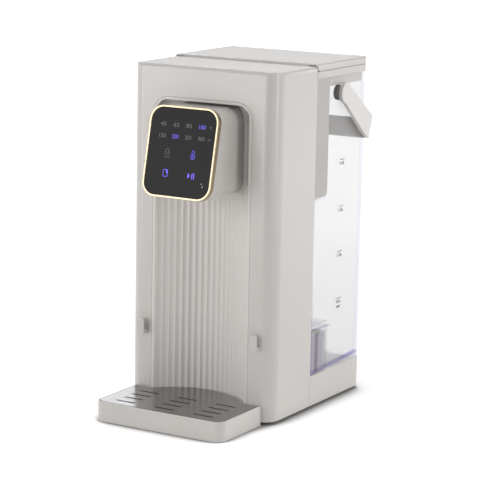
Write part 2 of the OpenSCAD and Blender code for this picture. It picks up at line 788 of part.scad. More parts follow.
module valve_spring() {
    echo(least_spring_gap = coil_gap);
    points = [for (i = [0 : coil_rings], k = [0 : 5]) let (
        t = i / coil_rings,
        a = 360 * spring_turns * t,
        b = 60 * k) coil_at(t) + spring_wire * [cos(a) * cos(b), sin(a) * cos(b), sin(b)]];
    sides = [for (i = [0 : coil_rings - 1], k = [0 : 5]) let (n = (k + 1) % 6)
        [6 * i + k, 6 * i + n, 6 * i + 6 + n, 6 * i + 6 + k]];
    ends = [[5, 4, 3, 2, 1, 0], [for (k = [0 : 5]) 6 * coil_rings + k]];
    color("#c9ccd0") translate([0, valve_y, disc_z + 2]) polyhedron(points, concat(sides, ends), convexity = 8);
}

module strainer() {
    color("#d8d8d6") translate([0, valve_y, 0]) difference() {
        translate([0, 0, seat_z]) cylinder(r = valve_r + 5, h = spring_top + 2 - seat_z);
        translate([0, 0, seat_z - 1]) cylinder(r = valve_r + 3.4, h = spring_top + 1 - seat_z);
        for (a = [0 : 22.5 : 337.5]) rotate(a)
            translate([valve_r + 1, -1, seat_z + 2]) cube([8, 2, spring_top - seat_z - 4]);
    }
}

module handle_pins() {
    color("#c4c0bc") for (s = [0, 1]) mirror([s, 0, 0]) translate([0, pivot_y, pivot_z]) rotate([0, 90, 0]) {
        translate([0, 0, tank_hw - tank_wall - 2]) cylinder(r = pin_r + 2, h = 2);
        translate([0, 0, tank_hw - tank_wall - 1]) cylinder(r = pin_r, h = hole_end - 0.3 - tank_hw + tank_wall + 1);
    }
}

module valve_plunger() {
    color("#b9bcc0") translate([0, valve_y, 0]) {
        translate([0, 0, pin_top + 0.35]) cylinder(r = 1.8, h = disc_z - pin_top, $fn = 32);
        translate([0, 0, disc_z]) cylinder(r = valve_r - 1, h = 2);
    }
}

module plunger_seal() {
    color("#7a3b30") translate([0, valve_y, disc_z - 1.2]) difference() {
        cylinder(r = valve_r - 1, h = 1.2);
        translate([0, 0, -1]) cylinder(r = valve_r - 4.4, h = 4);
    }
}

// Handle as a solid block in the frame of its grip, with the pivot at the origin
module handle_block() {
    along_x(2 * arm_out) polygon([
        [0, band_w / 2],
        [grip_v + band_t, -grip_drop],
        [grip_v + band_t, -grip_low],
        [grip_v - 14, -grip_low],
        [0, -band_w / 2]]);
    rotate([0, 90, 0]) cylinder(r = band_w / 2 + 0.6, h = 2 * arm_out, center = true);
}

module tank_handle() {
    color("#cbc7c3") translate([0, pivot_y, pivot_z]) rotate([-grip_tilt, 0, 0]) difference() {
        intersection() {
            handle_block();
            layer(-60, 60) arched(arm_out, -40, grip_v + band_t, 13);
        }
        layer(-61, 61) arched(arm_x, -41, grip_v, 13 - band_t);
        translate([-hole_end, 0, 0]) rotate([0, 90, 0]) cylinder(r = pin_r + run, h = 2 * hole_end);
    }
}

// Side view of the lid with its round hinge nose and its round rear edge
module lid_side() {
    translate([hinge_y, hinge_z]) circle(hinge_r);
    translate([hinge_y, lid_z]) square([back_y - hinge_y - edge_r + 1, lid_h]);
    translate([hinge_y, lid_z]) square([back_y - hinge_y, lid_h - edge_r + 1]);
    translate([back_y - edge_r + 1, lid_top - edge_r + 1]) circle(edge_r - 1);
}

module tank_lid() {
    color("#cbc7c3") difference() {
        union() {
            difference() {
                intersection() {
                    along_x(body_w) lid_side();
                    layer(lid_z - 8, lid_top + 1) tank_plan(hw, seam_y, back_y, tank_r);
                    along_y(seam_y, back_y + 1) arched(hw, 0, lid_top, edge_r - 1);
                }
                layer(lid_z - 1, lid_top - wall) rounded(-hw + 3, hinge_y + 7, hw - 3, back_y - 3, tank_r - 3);
            }
            layer(collar_z + 1, lid_top - wall) difference() {
                rounded(-fill_hw + 2, fill_y + 2, fill_hw - 2, fill_back - 2, 6.5);
                rounded(-fill_hw + 4, fill_y + 4, fill_hw - 4, fill_back - 4, 4.5);
            }
            translate([-11, back_y - 2, lid_z + 0.4]) cube([22, 3.2, 3]);
        }
        for (s = [-1, 1]) translate([s * cheek_x, hinge_y, hinge_z]) {
            along_x(cheek_w + 2 * gap) polygon([
                [0, 0],
                [12 * cos(140), 12 * sin(140)],
                [-12, -12],
                [12 * cos(315), 12 * sin(315)]]);
            rotate([0, 90, 0]) cylinder(r = cheek_r + gap, h = cheek_w + 2 * gap, center = true);
            translate([-s * 6, 0, 0]) rotate([0, 90, 0]) cylinder(r = hinge_pin + run, h = 12, center = true);
        }
    }
}

module lid_gasket() {
    color("#d9d6d2") layer(collar_z + 2, collar_z + 4.4) difference() {
        rounded(-fill_hw + 1.1, fill_y + 1.1, fill_hw - 1.1, fill_back - 1.1, 7.4);
        rounded(-fill_hw + 2, fill_y + 2, fill_hw - 2, fill_back - 2, 6.5);
    }
}

module drip_tray() {
    color("#c9c5c1") difference() {
        layer(0, tray_h) tray_plan(0);
        layer(plate_z - 0.35, tray_h + 1) tray_plan(tray_rim);
        layer(2, tray_h + 1) tray_plan(tray_rim + 2.2);
        for (s = [-1, 1]) translate([s * hook_x - hook_w / 2 - 0.6, tray_back - 2.6, -1])
            cube([hook_w + 1.2, 4, tray_h - 5]);
    }
}

module tray_plate() {
    color("#9a9da0") difference() {
        layer(plate_z, plate_z + plate_t) tray_plan(tray_rim + 0.35);
        for (c = [-1, 0, 1], k = [0 : 3]) translate([c * slot_col, tray_y + 12 + k * slot_row, plate_z - 1]) {
            translate([-slot_l / 2 + slot_w / 2, -slot_w / 2, 0]) cube([slot_l - slot_w, slot_w, plate_t + 2]);
            for (s = [-1, 1]) translate([s * (slot_l - slot_w) / 2, 0, 0])
                cylinder(r = slot_w / 2, h = plate_t + 2, $fn = 24);
        }
    }
}

front_housing();
fluted_panel();
rear_bulkhead();
base_pan();
rubber_feet();
tray_hooks();
head_shell();
bezel();
touch_glass();
control_board();
spout_nozzle();
outlet_hose();
heater();
heater_bracket();
thermostats();
pump();
pump_cradle();
suction_hose();
delivery_hose();
power_board();
valve_socket();
socket_seal();
cord_gland();
base_screws();
water_tank();
tank_collar();
tank_spine();
valve_body();
valve_spring();
strainer();
handle_pins();
valve_plunger();
plunger_seal();
tank_handle();
tank_lid();
lid_gasket();
drip_tray();
tray_plate();
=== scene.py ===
import json
import math

import bpy
from mathutils import Matrix, Vector

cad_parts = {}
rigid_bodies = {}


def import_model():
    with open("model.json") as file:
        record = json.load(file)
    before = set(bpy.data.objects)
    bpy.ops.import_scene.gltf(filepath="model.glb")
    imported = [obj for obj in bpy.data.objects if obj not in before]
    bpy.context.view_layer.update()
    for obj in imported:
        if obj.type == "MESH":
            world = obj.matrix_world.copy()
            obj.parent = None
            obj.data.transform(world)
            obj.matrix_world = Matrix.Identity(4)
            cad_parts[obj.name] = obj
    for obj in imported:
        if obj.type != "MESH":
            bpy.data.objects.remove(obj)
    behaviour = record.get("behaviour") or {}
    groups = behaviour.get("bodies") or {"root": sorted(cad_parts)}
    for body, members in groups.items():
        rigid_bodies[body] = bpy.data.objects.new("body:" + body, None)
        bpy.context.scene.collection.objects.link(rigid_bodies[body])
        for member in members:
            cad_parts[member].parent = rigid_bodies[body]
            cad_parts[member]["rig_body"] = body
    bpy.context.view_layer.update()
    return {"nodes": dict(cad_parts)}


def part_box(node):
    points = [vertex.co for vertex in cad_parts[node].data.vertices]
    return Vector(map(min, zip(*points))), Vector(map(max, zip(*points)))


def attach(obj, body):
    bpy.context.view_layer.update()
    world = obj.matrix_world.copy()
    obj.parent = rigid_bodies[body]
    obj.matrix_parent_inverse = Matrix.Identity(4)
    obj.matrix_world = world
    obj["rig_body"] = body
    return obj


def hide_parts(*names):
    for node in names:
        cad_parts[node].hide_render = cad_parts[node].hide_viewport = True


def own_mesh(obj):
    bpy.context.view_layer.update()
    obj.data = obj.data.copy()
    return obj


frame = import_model()


# Floor: a white paper sweep under the machine. It takes the soft shadow of the base and the tray, and for what the
# camera sees directly, by reflection and through the clear tank, a painted contact shadow darkens it close round them.
# Away from them it is lifted to white for those rays, and a painted light in front of the tray washes out the tray's
# cast shadow.
def linear(hex_colour):
    """sRGB hex to the linear colour that a shader takes."""
    parts = [int(hex_colour[i : i + 2], 16) / 255 for i in (1, 3, 5)]
    return tuple(c / 12.92 if c <= 0.04045 else ((c + 0.055) / 1.055) ** 2.4 for c in parts) + (1.0,)


def node(tree, kind, values=None, **settings):
    """Adds a shader node: settings are its own fields, values its input sockets, as numbers, sockets or nodes.
    A node is linked by the first of its outputs that is in use. Inputs 6 and 7 of a Mix are its two colours."""
    made = tree.nodes.new(kind)
    for field, value in settings.items():
        setattr(made, field, value)
    for socket, value in (values or {}).items():
        if isinstance(value, bpy.types.Node):
            value = next(output for output in value.outputs if output.enabled)
        if isinstance(value, bpy.types.NodeSocket):
            tree.links.new(value, made.inputs[socket])
        else:
            made.inputs[socket].default_value = value
    return made


def blank_material(name):
    """A new material, its node tree, and the place on the piece that its patterns follow."""
    made = bpy.data.materials.new(name)
    made.use_nodes = True
    made.node_tree.nodes.clear()
    return made, made.node_tree, node(made.node_tree, "ShaderNodeTexCoord").outputs["Object"]


# The floor, the lamps and the camera are in metres, the pieces of the machine in millimetres.
PAPER_SIZE, PAPER_DROP, PAPER_WHITE = 14, 0.0002, linear("#f7f7f7")
LIFT_CENTRE, LIFT_BACK, LIFT_ROUND, BACK_NEAR, BACK_END = (0, 0.35, 0), 0.26, 0.38, 0.15, 0.6
LIFT_FAR, FAR_NEAR, FAR_END = 0.2, 0.7, 2.6
TRAY_CENTRE, TRAY_SHADOW_WASHOUT, TRAY_NEAR, TRAY_END = (-0.03, -0.13, 0), 0.25, 0.13, 0.26
SHADE_REACH, SHADE_SHUT, SHADE_OPEN, SHADE_TONE = 0.03, 0.5, 0.95, 0.35
bpy.ops.object.select_all(action="DESELECT")
bpy.ops.mesh.primitive_plane_add(size=PAPER_SIZE, location=(0, 0, -PAPER_DROP))
floor = bpy.context.object
floor.name = "floor"
paper, tree, where = blank_material("white paper sweep")
rays = node(tree, "ShaderNodeLightPath")
seen = node(tree, "ShaderNodeMath", {0: rays.outputs["Is Camera Ray"], 1: rays.outputs["Is Transmission Ray"]},
            operation="MAXIMUM")
seen = node(tree, "ShaderNodeMath", {0: seen, 1: rays.outputs["Is Glossy Ray"]}, operation="MAXIMUM")
away = node(tree, "ShaderNodeVectorMath", {0: where, 1: LIFT_CENTRE}, operation="DISTANCE")
lift = node(tree, "ShaderNodeMapRange", {"Value": away, "From Min": BACK_NEAR, "From Max": BACK_END,
                                         "To Min": LIFT_BACK, "To Max": LIFT_ROUND})
far = node(tree, "ShaderNodeMapRange", {"Value": away, "From Min": FAR_NEAR, "From Max": FAR_END, "To Max": LIFT_FAR})
lift = node(tree, "ShaderNodeMath", {0: lift, 1: far}, operation="ADD")
# Painted light: an extra lift in front of the tray that washes out the tray's cast shadow.
by_tray = node(tree, "ShaderNodeVectorMath", {0: where, 1: TRAY_CENTRE}, operation="DISTANCE")
front = node(tree, "ShaderNodeMapRange", {"Value": by_tray, "From Min": TRAY_NEAR, "From Max": TRAY_END,
                                          "To Min": TRAY_SHADOW_WASHOUT, "To Max": 0.0})
lift = node(tree, "ShaderNodeMath", {0: lift, 1: front}, operation="ADD")
open_sky = node(tree, "ShaderNodeAmbientOcclusion", {"Distance": SHADE_REACH}, samples=16)
clear_of = node(tree, "ShaderNodeMapRange", {"Value": open_sky.outputs["AO"], "From Min": SHADE_SHUT,
                                             "From Max": SHADE_OPEN})
lift = node(tree, "ShaderNodeMath", {0: clear_of, 1: lift}, operation="MULTIPLY")
lift = node(tree, "ShaderNodeMath", {0: seen, 1: lift}, operation="MULTIPLY")
# Painted contact shadow: close round the machine the floor is darkened for what the camera sees, down to SHADE_TONE.
painted_contact_shadow = node(tree, "ShaderNodeMapRange", {"Value": clear_of, "From Max": 0.5, "To Min": SHADE_TONE})
white = node(tree, "ShaderNodeMix", {"Factor": seen, 6: PAPER_WHITE, 7: painted_contact_shadow}, data_type="RGBA")
matt = node(tree, "ShaderNodeBsdfDiffuse", {"Color": white})
glow = node(tree, "ShaderNodeEmission", {"Strength": lift})
both = node(tree, "ShaderNodeAddShader", {0: matt, 1: glow})
node(tree, "ShaderNodeOutputMaterial", {"Surface": both})
floor.data.materials.append(paper)

# Light: a white tent all round, a broad softbox on the left for the front and one behind on the right for the side,
# a slim one on the right for the corner, a far one behind for the steel plate, and a dim one overhead. What mirrors
# the tent sees its walls white from the horizon up to WALL_TOP, and its roof dimmer.
TENT_LIGHT, TENT_SEEN, WALL_FADE, WALL_TOP = 0.5, 1.0, 0.0, 0.05
scene = bpy.context.scene
scene.view_settings.view_transform = "Standard"
tent = bpy.data.worlds.new("white tent")
scene.world = tent
tent.use_nodes = True
tree = tent.node_tree
tree.nodes.clear()
rays = node(tree, "ShaderNodeLightPath")
seen = node(tree, "ShaderNodeMath", {0: rays.outputs["Is Camera Ray"], 1: rays.outputs["Is Transmission Ray"]},
            operation="MAXIMUM")
rise = node(tree, "ShaderNodeSeparateXYZ", {0: node(tree, "ShaderNodeTexCoord").outputs["Generated"]})
low_wall = node(tree, "ShaderNodeMapRange", {"Value": rise.outputs[2], "From Min": WALL_FADE, "From Max": WALL_TOP,
                                             "To Min": 1.0, "To Max": 0.0})
mirrored = node(tree, "ShaderNodeMath", {0: rays.outputs["Is Glossy Ray"], 1: low_wall}, operation="MULTIPLY")
seen = node(tree, "ShaderNodeMath", {0: seen, 1: mirrored}, operation="MAXIMUM")
level = node(tree, "ShaderNodeMapRange", {"Value": seen, "To Min": TENT_LIGHT, "To Max": TENT_SEEN})
cloth = node(tree, "ShaderNodeBackground", {"Color": linear("#ffffff"), "Strength": level})
node(tree, "ShaderNodeOutputWorld", {"Surface": cloth})
AIM = Vector((0, 0, 0.16))
LAMPS = [
    ("left softbox", (-1.00, -1.45, 0.22), (1.4, 1.3), 17.0),
    ("right softbox", (1.35, 1.35, 0.85), (1.3, 1.0), 12.5),
    ("right strip light", (1.66, -0.36, 0.45), (0.2, 1.0), 4.8),
    ("far left softbox", (-2.15, 3.45, 1.40), (1.5, 0.4), 7.5),
    ("overhead softbox", (0.1, 0.0, 1.7), (1.2, 1.2), 5.0),
]
for name, place, (wide, high), watts in LAMPS:
    lamp = bpy.data.lights.new(name, "AREA")
    lamp.shape = "RECTANGLE"
    lamp.size = wide
    lamp.size_y = high
    lamp.energy = watts
    holder = bpy.data.objects.new(name, lamp)
    scene.collection.objects.link(holder)
    holder.location = place
    holder.rotation_euler = (AIM - holder.location).to_track_quat("-Z", "Y").to_euler()

# Black flag: a dark card that stands in front, a little to the right. It draws the dark line down the rounded corner
# of the housing, and neither the camera nor the lamps see it.
bpy.ops.object.select_all(action="DESELECT")
bpy.ops.mesh.primitive_plane_add(size=1)
flag = bpy.context.object
flag.name = "black_flag"
FLAG_FOOT, FLAG_WIDE, FLAG_HIGH, FLAG_TURN = (0.388, -0.945, 0.0), 0.5, 0.9, math.radians(20)
flag.scale = (FLAG_WIDE, FLAG_HIGH, 1)
flag.rotation_euler = (math.radians(90), 0, FLAG_TURN)
flag.location = (FLAG_FOOT[0], FLAG_FOOT[1], FLAG_HIGH / 2)
bpy.ops.object.transform_apply(location=True, rotation=True, scale=True)
felt, tree, _ = blank_material("black felt")
nap = node(tree, "ShaderNodeBsdfDiffuse", {"Color": linear("#191919")})
node(tree, "ShaderNodeOutputMaterial", {"Surface": nap})
flag.data.materials.append(felt)
flag.visible_camera = False
flag.visible_transmission = False
flag.visible_shadow = False

# Camera at the photograph's place: 30.65 degrees to the right of the front, 10.6 degrees up and rolled by one
# degree, with a long lens. The focal length is in pixels of a 480 pixel frame.
YAW, PITCH, ROLL = math.radians(30.651), math.radians(10.637), math.radians(1.066)
FOCAL_PX, FRAME_PX, SENSOR_MM = 2048.097, 480, 36
CAMERA_AT, SHIFT = Vector((0.88931, -1.50071, 0.47762)), (0.01429, -0.01469)
back = Vector((math.sin(YAW) * math.cos(PITCH), -math.cos(YAW) * math.cos(PITCH), math.sin(PITCH)))
level_right = Vector((math.cos(YAW), math.sin(YAW), 0))
level_up = back.cross(level_right)
right = math.cos(ROLL) * level_right + math.sin(ROLL) * level_up
up = -math.sin(ROLL) * level_right + math.cos(ROLL) * level_up
lens = bpy.data.cameras.new("camera")
lens.sensor_width = SENSOR_MM
lens.lens = FOCAL_PX * SENSOR_MM / FRAME_PX
lens.shift_x, lens.shift_y = SHIFT
lens.clip_start, lens.clip_end = 0.05, 40
camera = bpy.data.objects.new("camera", lens)
scene.collection.objects.link(camera)
camera.matrix_world = Matrix.Translation(CAMERA_AT) @ Matrix((right, up, back)).transposed().to_4x4()
scene.camera = camera


# Base pan: the foot of the machine with the tank platform and its locating posts, injection moulded in one piece.
# The edges of every moulding are rounded a little, because a sharp edge doesn't fill in the mould.
cad = frame["nodes"]
MM = 0.001
# The distance that is welded, and the bends that count as flat, as a sharp edge and as smooth.
WELD, FLAT, SHARP, SMOOTH = 0.002 * MM, math.radians(0.4), math.radians(32), math.radians(38)


def pick(*pieces):
    """Selects these pieces alone. The first of them is the one that tools act on."""
    bpy.ops.object.select_all(action="DESELECT")
    for piece in pieces:
        piece.select_set(True)
    bpy.context.view_layer.objects.active = pieces[0]


def softened(name, radius, material, steps=2):
    """A copy of a solid with its sharp edges rounded by a radius in millimetres, standing in for the plain one."""
    mesh = cad[name].data.copy()
    mesh.materials.clear()
    mesh.materials.append(material)
    piece = bpy.data.objects.new(name + "_moulded", mesh)
    scene.collection.objects.link(piece)
    pick(piece)
    bpy.ops.mesh.customdata_custom_splitnormals_clear()
    bpy.ops.object.mode_set(mode="EDIT")
    bpy.ops.mesh.select_all(action="SELECT")
    bpy.ops.mesh.remove_doubles(threshold=WELD)
    bpy.ops.mesh.dissolve_limited(angle_limit=FLAT)
    bpy.ops.object.mode_set(mode="OBJECT")
    rounding = piece.modifiers.new("edge rounding", "BEVEL")
    rounding.width = radius * MM
    rounding.segments = steps
    rounding.limit_method = "ANGLE"
    rounding.angle_limit = SHARP
    rounding.use_clamp_overlap = False
    bpy.ops.object.modifier_apply(modifier=rounding.name)
    bpy.ops.object.shade_smooth_by_angle(angle=SMOOTH)
    flats = piece.modifiers.new("flat faces", "WEIGHTED_NORMAL")
    flats.keep_sharp = True
    bpy.ops.object.modifier_apply(modifier=flats.name)
    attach(piece, cad[name]["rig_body"])
    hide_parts(name)
    return piece


# Satin ABS straight from a polished mould: warm grey, an even soft gloss with broad faint clouds of tone, and an
# orange-peel ripple of about 2 mm that only the highlights show.
satin_abs, tree, where = blank_material("satin moulded ABS")
cloud = node(tree, "ShaderNodeTexNoise", {"Vector": where, "Scale": 1 / (55 * MM), "Detail": 2.0})
tone = node(tree, "ShaderNodeMix", {"Factor": cloud, 6: linear("#c6c2be"), 7: linear("#cbc7c3")}, data_type="RGBA")
peel = node(tree, "ShaderNodeTexNoise", {"Vector": where, "Scale": 1 / (2.2 * MM), "Detail": 1.5})
ripple = node(tree, "ShaderNodeBump", {"Height": peel, "Strength": 0.12, "Distance": 0.05 * MM})
gloss = node(tree, "ShaderNodeMapRange", {"Value": peel, "To Min": 0.2, "To Max": 0.27})
shell = node(tree, "ShaderNodeBsdfPrincipled", {"Base Color": tone, "Roughness": gloss, "Normal": ripple, "IOR": 1.54})
node(tree, "ShaderNodeOutputMaterial", {"Surface": shell})
softened("base_pan", 0.08, satin_abs)


# Rubber feet and the cord gland: black moulded rubber, pressed into the base pan and its rear wall.
# Rubber is nearly matt, with a paler bloom in broad patches and a dusty grain, drawn coarse at 0.6 mm to show.
rubber, tree, where = blank_material("black moulded rubber")
bloom = node(tree, "ShaderNodeTexNoise", {"Vector": where, "Scale": 1 / (9 * MM), "Detail": 3.0})
tone = node(tree, "ShaderNodeMix", {"Factor": bloom, 6: linear("#1c1c1d"), 7: linear("#2e2d2c")}, data_type="RGBA")
grain = node(tree, "ShaderNodeTexNoise", {"Vector": where, "Scale": 1 / (0.6 * MM), "Detail": 2.0})
dust = node(tree, "ShaderNodeBump", {"Height": grain, "Strength": 0.3, "Distance": 0.08 * MM})
gloss = node(tree, "ShaderNodeMapRange", {"Value": bloom, "To Min": 0.62, "To Max": 0.8})
skin = node(tree, "ShaderNodeBsdfPrincipled", {"Base Color": tone, "Roughness": gloss, "Normal": dust, "IOR": 1.52})
node(tree, "ShaderNodeOutputMaterial", {"Surface": skin})
softened("rubber_feet", 0.5, rubber)
softened("cord_gland", 0.5, rubber)


# Rear bulkhead: the plain inner wall behind the works, moulded in the same family of grey and clipped to the
# housing. The heater bracket and the strainer are moulded in it too.
def dress(material, *names):
    """Gives carried-over solids a material of the scene's own."""
    for name in names:
        cad[name].data.materials.clear()
        cad[name].data.materials.append(material)


# Matt ABS from a spark-eroded mould: an even dry grain that breaks the light up, drawn coarse at 0.8 mm to show.
grained_abs, tree, where = blank_material("spark-grained ABS")
cloud = node(tree, "ShaderNodeTexNoise", {"Vector": where, "Scale": 1 / (40 * MM), "Detail": 2.0})
tone = node(tree, "ShaderNodeMix", {"Factor": cloud, 6: linear("#bdb9b5"), 7: linear("#c5c1bd")}, data_type="RGBA")
grain = node(tree, "ShaderNodeTexVoronoi", {"Vector": where, "Scale": 1 / (0.8 * MM)})
pits = node(tree, "ShaderNodeBump", {"Height": grain, "Strength": 0.2, "Distance": 0.08 * MM})
gloss = node(tree, "ShaderNodeMapRange", {"Value": grain, "To Min": 0.42, "To Max": 0.55})
wall = node(tree, "ShaderNodeBsdfPrincipled", {"Base Color": tone, "Roughness": gloss, "Normal": pits, "IOR": 1.54})
node(tree, "ShaderNodeOutputMaterial", {"Surface": wall})
softened("rear_bulkhead", 0.3, grained_abs)
dress(grained_abs, "heater_bracket", "strainer")

# Base screws: zinc plated self-tapping screws that hold the base pan to the front housing from below.
# Zinc has a cool grey sheen with faint mottled crystals of about 1 mm.
zinc, tree, where = blank_material("zinc plated steel")
spangle = node(tree, "ShaderNodeTexVoronoi", {"Vector": where, "Scale": 1 / (1.0 * MM)})
tone = node(tree, "ShaderNodeMix", {"Factor": spangle, 6: linear("#a9adb2"), 7: linear("#c4c7ca")}, data_type="RGBA")
gloss = node(tree, "ShaderNodeMapRange", {"Value": spangle, "To Min": 0.28, "To Max": 0.42})
plate = node(tree, "ShaderNodeBsdfPrincipled", {"Base Color": tone, "Metallic": 1.0, "Roughness": gloss})
node(tree, "ShaderNodeOutputMaterial", {"Surface": plate})
softened("base_screws", 0.3, zinc)

# Valve socket, spout nozzle, valve body and valve plunger: the water fittings, injection moulded in grey acetal.
# Acetal is waxy: a soft broad highlight, a little milky depth and almost no texture.
acetal, tree, where = blank_material("grey moulded acetal")
flow = node(tree, "ShaderNodeTexNoise", {"Vector": where, "Scale": 1 / (7 * MM), "Detail": 2.0, "Distortion": 0.6})
tone = node(tree, "ShaderNodeMix", {"Factor": flow, 6: linear("#9a9a9b"), 7: linear("#a6a6a6")}, data_type="RGBA")
gloss = node(tree, "ShaderNodeMapRange", {"Value": flow, "To Min": 0.3, "To Max": 0.4})
waxy = node(tree, "ShaderNodeBsdfPrincipled", {"Base Color": tone, "Roughness": gloss, "IOR": 1.48,
                                               "Subsurface Weight": 0.1, "Subsurface Scale": 0.0006})
node(tree, "ShaderNodeOutputMaterial", {"Surface": waxy})
softened("valve_socket", 0.3, acetal)

# Socket seal, plunger seal: brick-red silicone lip seals, pressed over the socket and the plunger.
# Moulded silicone is soft-looking: satin, slightly translucent, with a faint dusty variation.
red_silicone, tree, where = blank_material("red moulded silicone")
dust = node(tree, "ShaderNodeTexNoise", {"Vector": where, "Scale": 1 / (2.5 * MM), "Detail": 3.0})
tone = node(tree, "ShaderNodeMix", {"Factor": dust, 6: linear("#8c3a2c"), 7: linear("#a04a3a")}, data_type="RGBA")
gloss = node(tree, "ShaderNodeMapRange", {"Value": dust, "To Min": 0.45, "To Max": 0.6})
lip = node(tree, "ShaderNodeBsdfPrincipled", {"Base Color": tone, "Roughness": gloss, "IOR": 1.41,
                                              "Subsurface Weight": 0.15, "Subsurface Scale": 0.0008})
node(tree, "ShaderNodeOutputMaterial", {"Surface": lip})
dress(red_silicone, "socket_seal", "plunger_seal")

# Pump and thermostats: a small centrifugal pump and two snap-disc thermostats in black glass-filled nylon, with
# the pump held in a rubber cradle. The short glass fibres show as fine pale flecks on a satin black.
nylon, tree, where = blank_material("black glass-filled nylon")
long_way = node(tree, "ShaderNodeMapping", {"Vector": where, "Scale": (1.0, 1.0, 0.35)})
fleck = node(tree, "ShaderNodeTexNoise", {"Vector": long_way, "Scale": 1 / (0.7 * MM), "Detail": 2.0})
tone = node(tree, "ShaderNodeValToRGB", {"Fac": fleck})
tone.color_ramp.elements[0].position, tone.color_ramp.elements[0].color = 0.45, linear("#232326")
tone.color_ramp.elements[1].position, tone.color_ramp.elements[1].color = 0.75, linear("#4b4b4e")
gloss = node(tree, "ShaderNodeMapRange", {"Value": fleck, "To Min": 0.36, "To Max": 0.5})
case = node(tree, "ShaderNodeBsdfPrincipled", {"Base Color": tone, "Roughness": gloss, "IOR": 1.53})
node(tree, "ShaderNodeOutputMaterial", {"Surface": case})
dress(nylon, "pump", "thermostats")
dress(rubber, "pump_cradle")

# Heater: a thin-walled stainless tube with an end cap at each end, seam welded and ground along its length.
# The heat has left faint straw-coloured bands across it.
heater_steel, tree, where = blank_material("ground stainless tube")
along = node(tree, "ShaderNodeMapping", {"Vector": where, "Scale": (1.0, 1.0, 0.03)})
grind = node(tree, "ShaderNodeTexNoise", {"Vector": along, "Scale": 1 / (0.5 * MM), "Detail": 2.0})
across = node(tree, "ShaderNodeMapping", {"Vector": where, "Scale": (0.05, 0.05, 1.0)})
heat = node(tree, "ShaderNodeTexNoise", {"Vector": across, "Scale": 1 / (22 * MM), "Detail": 1.0})
tone = node(tree, "ShaderNodeMix", {"Factor": heat, 6: linear("#bfc0c1"), 7: linear("#c7b997")}, data_type="RGBA")
gloss = node(tree, "ShaderNodeMapRange", {"Value": grind, "To Min": 0.2, "To Max": 0.42})
tube = node(tree, "ShaderNodeBsdfPrincipled", {"Base Color": tone, "Metallic": 1.0, "Roughness": gloss})
node(tree, "ShaderNodeOutputMaterial", {"Surface": tube})
dress(heater_steel, "heater")

# Hoses: extruded food-grade silicone, pushed over the spigots of the socket, pump, heater and spout. The lid
# gasket is moulded in the same silicone. It is milky, satin, and carries fine lines from the extruder.
milky_silicone, tree, where = blank_material("milky extruded silicone")
milk = node(tree, "ShaderNodeTexNoise", {"Vector": where, "Scale": 1 / (6 * MM), "Detail": 2.0})
tone = node(tree, "ShaderNodeMix", {"Factor": milk, 6: linear("#d3d3cf"), 7: linear("#e4e4e1")}, data_type="RGBA")
gloss = node(tree, "ShaderNodeMapRange", {"Value": milk, "To Min": 0.34, "To Max": 0.48})
hose = node(tree, "ShaderNodeBsdfPrincipled", {"Base Color": tone, "Roughness": gloss, "IOR": 1.41,
                                               "Subsurface Weight": 0.35, "Subsurface Scale": 0.002})
node(tree, "ShaderNodeOutputMaterial", {"Surface": hose})
dress(milky_silicone, "suction_hose", "delivery_hose", "outlet_hose", "lid_gasket")

# Power board and control board: glass-epoxy boards with their parts soldered on, one on standoffs at the bulkhead
# and one behind the touch glass. The green solder mask shows the copper as paler strips 3 mm wide, under a wet gloss.
solder_mask, tree, where = blank_material("green solder mask")
tracks = node(tree, "ShaderNodeTexBrick", {"Vector": where, "Color1": linear("#1d5a37"), "Color2": linear("#22683f"),
                                           "Mortar": linear("#164a2c"), "Scale": 1 / (6 * MM), "Mortar Size": 0.06,
                                           "Brick Width": 1.6, "Row Height": 0.5})
weave = node(tree, "ShaderNodeTexNoise", {"Vector": where, "Scale": 1 / (1.2 * MM), "Detail": 2.0})
gloss = node(tree, "ShaderNodeMapRange", {"Value": weave, "To Min": 0.22, "To Max": 0.36})
board = node(tree, "ShaderNodeBsdfPrincipled", {"Base Color": tracks, "Roughness": gloss, "IOR": 1.55})
node(tree, "ShaderNodeOutputMaterial", {"Surface": board})
dress(solder_mask, "power_board", "control_board")

# Fluted panel: the concave back of the niche, a separate moulding with eighteen shallow upright flutes, clipped into
# the front housing from behind. Its ABS is painted paler than the shell's, a painted light against the shade of the
# niche.
# Round the head, above its foot and behind the panel's bare rim, a painted shade of the head darkens it, darkest at
# the rim and paler towards the back.
HEAD_SHADE_FOOT, RIM_BACK, HEAD_SHADE_BACK = 202.0, -51.8, -45.0

# The mould is blasted, so this ABS is duller than the shell: the flutes show as soft upright bands, with a fine
# grain, drawn coarse at 0.5 mm to show.
blasted_abs, tree, where = blank_material("blasted ABS with painted light and shade")
cloud = node(tree, "ShaderNodeTexNoise", {"Vector": where, "Scale": 1 / (45 * MM), "Detail": 2.0})
# The paler tone is painted light, lifting the niche's shade.
tone = node(tree, "ShaderNodeMix", {"Factor": cloud, 6: linear("#d3cfcb"), 7: linear("#d8d4d0")}, data_type="RGBA")
place_of = node(tree, "ShaderNodeSeparateXYZ", {0: where})
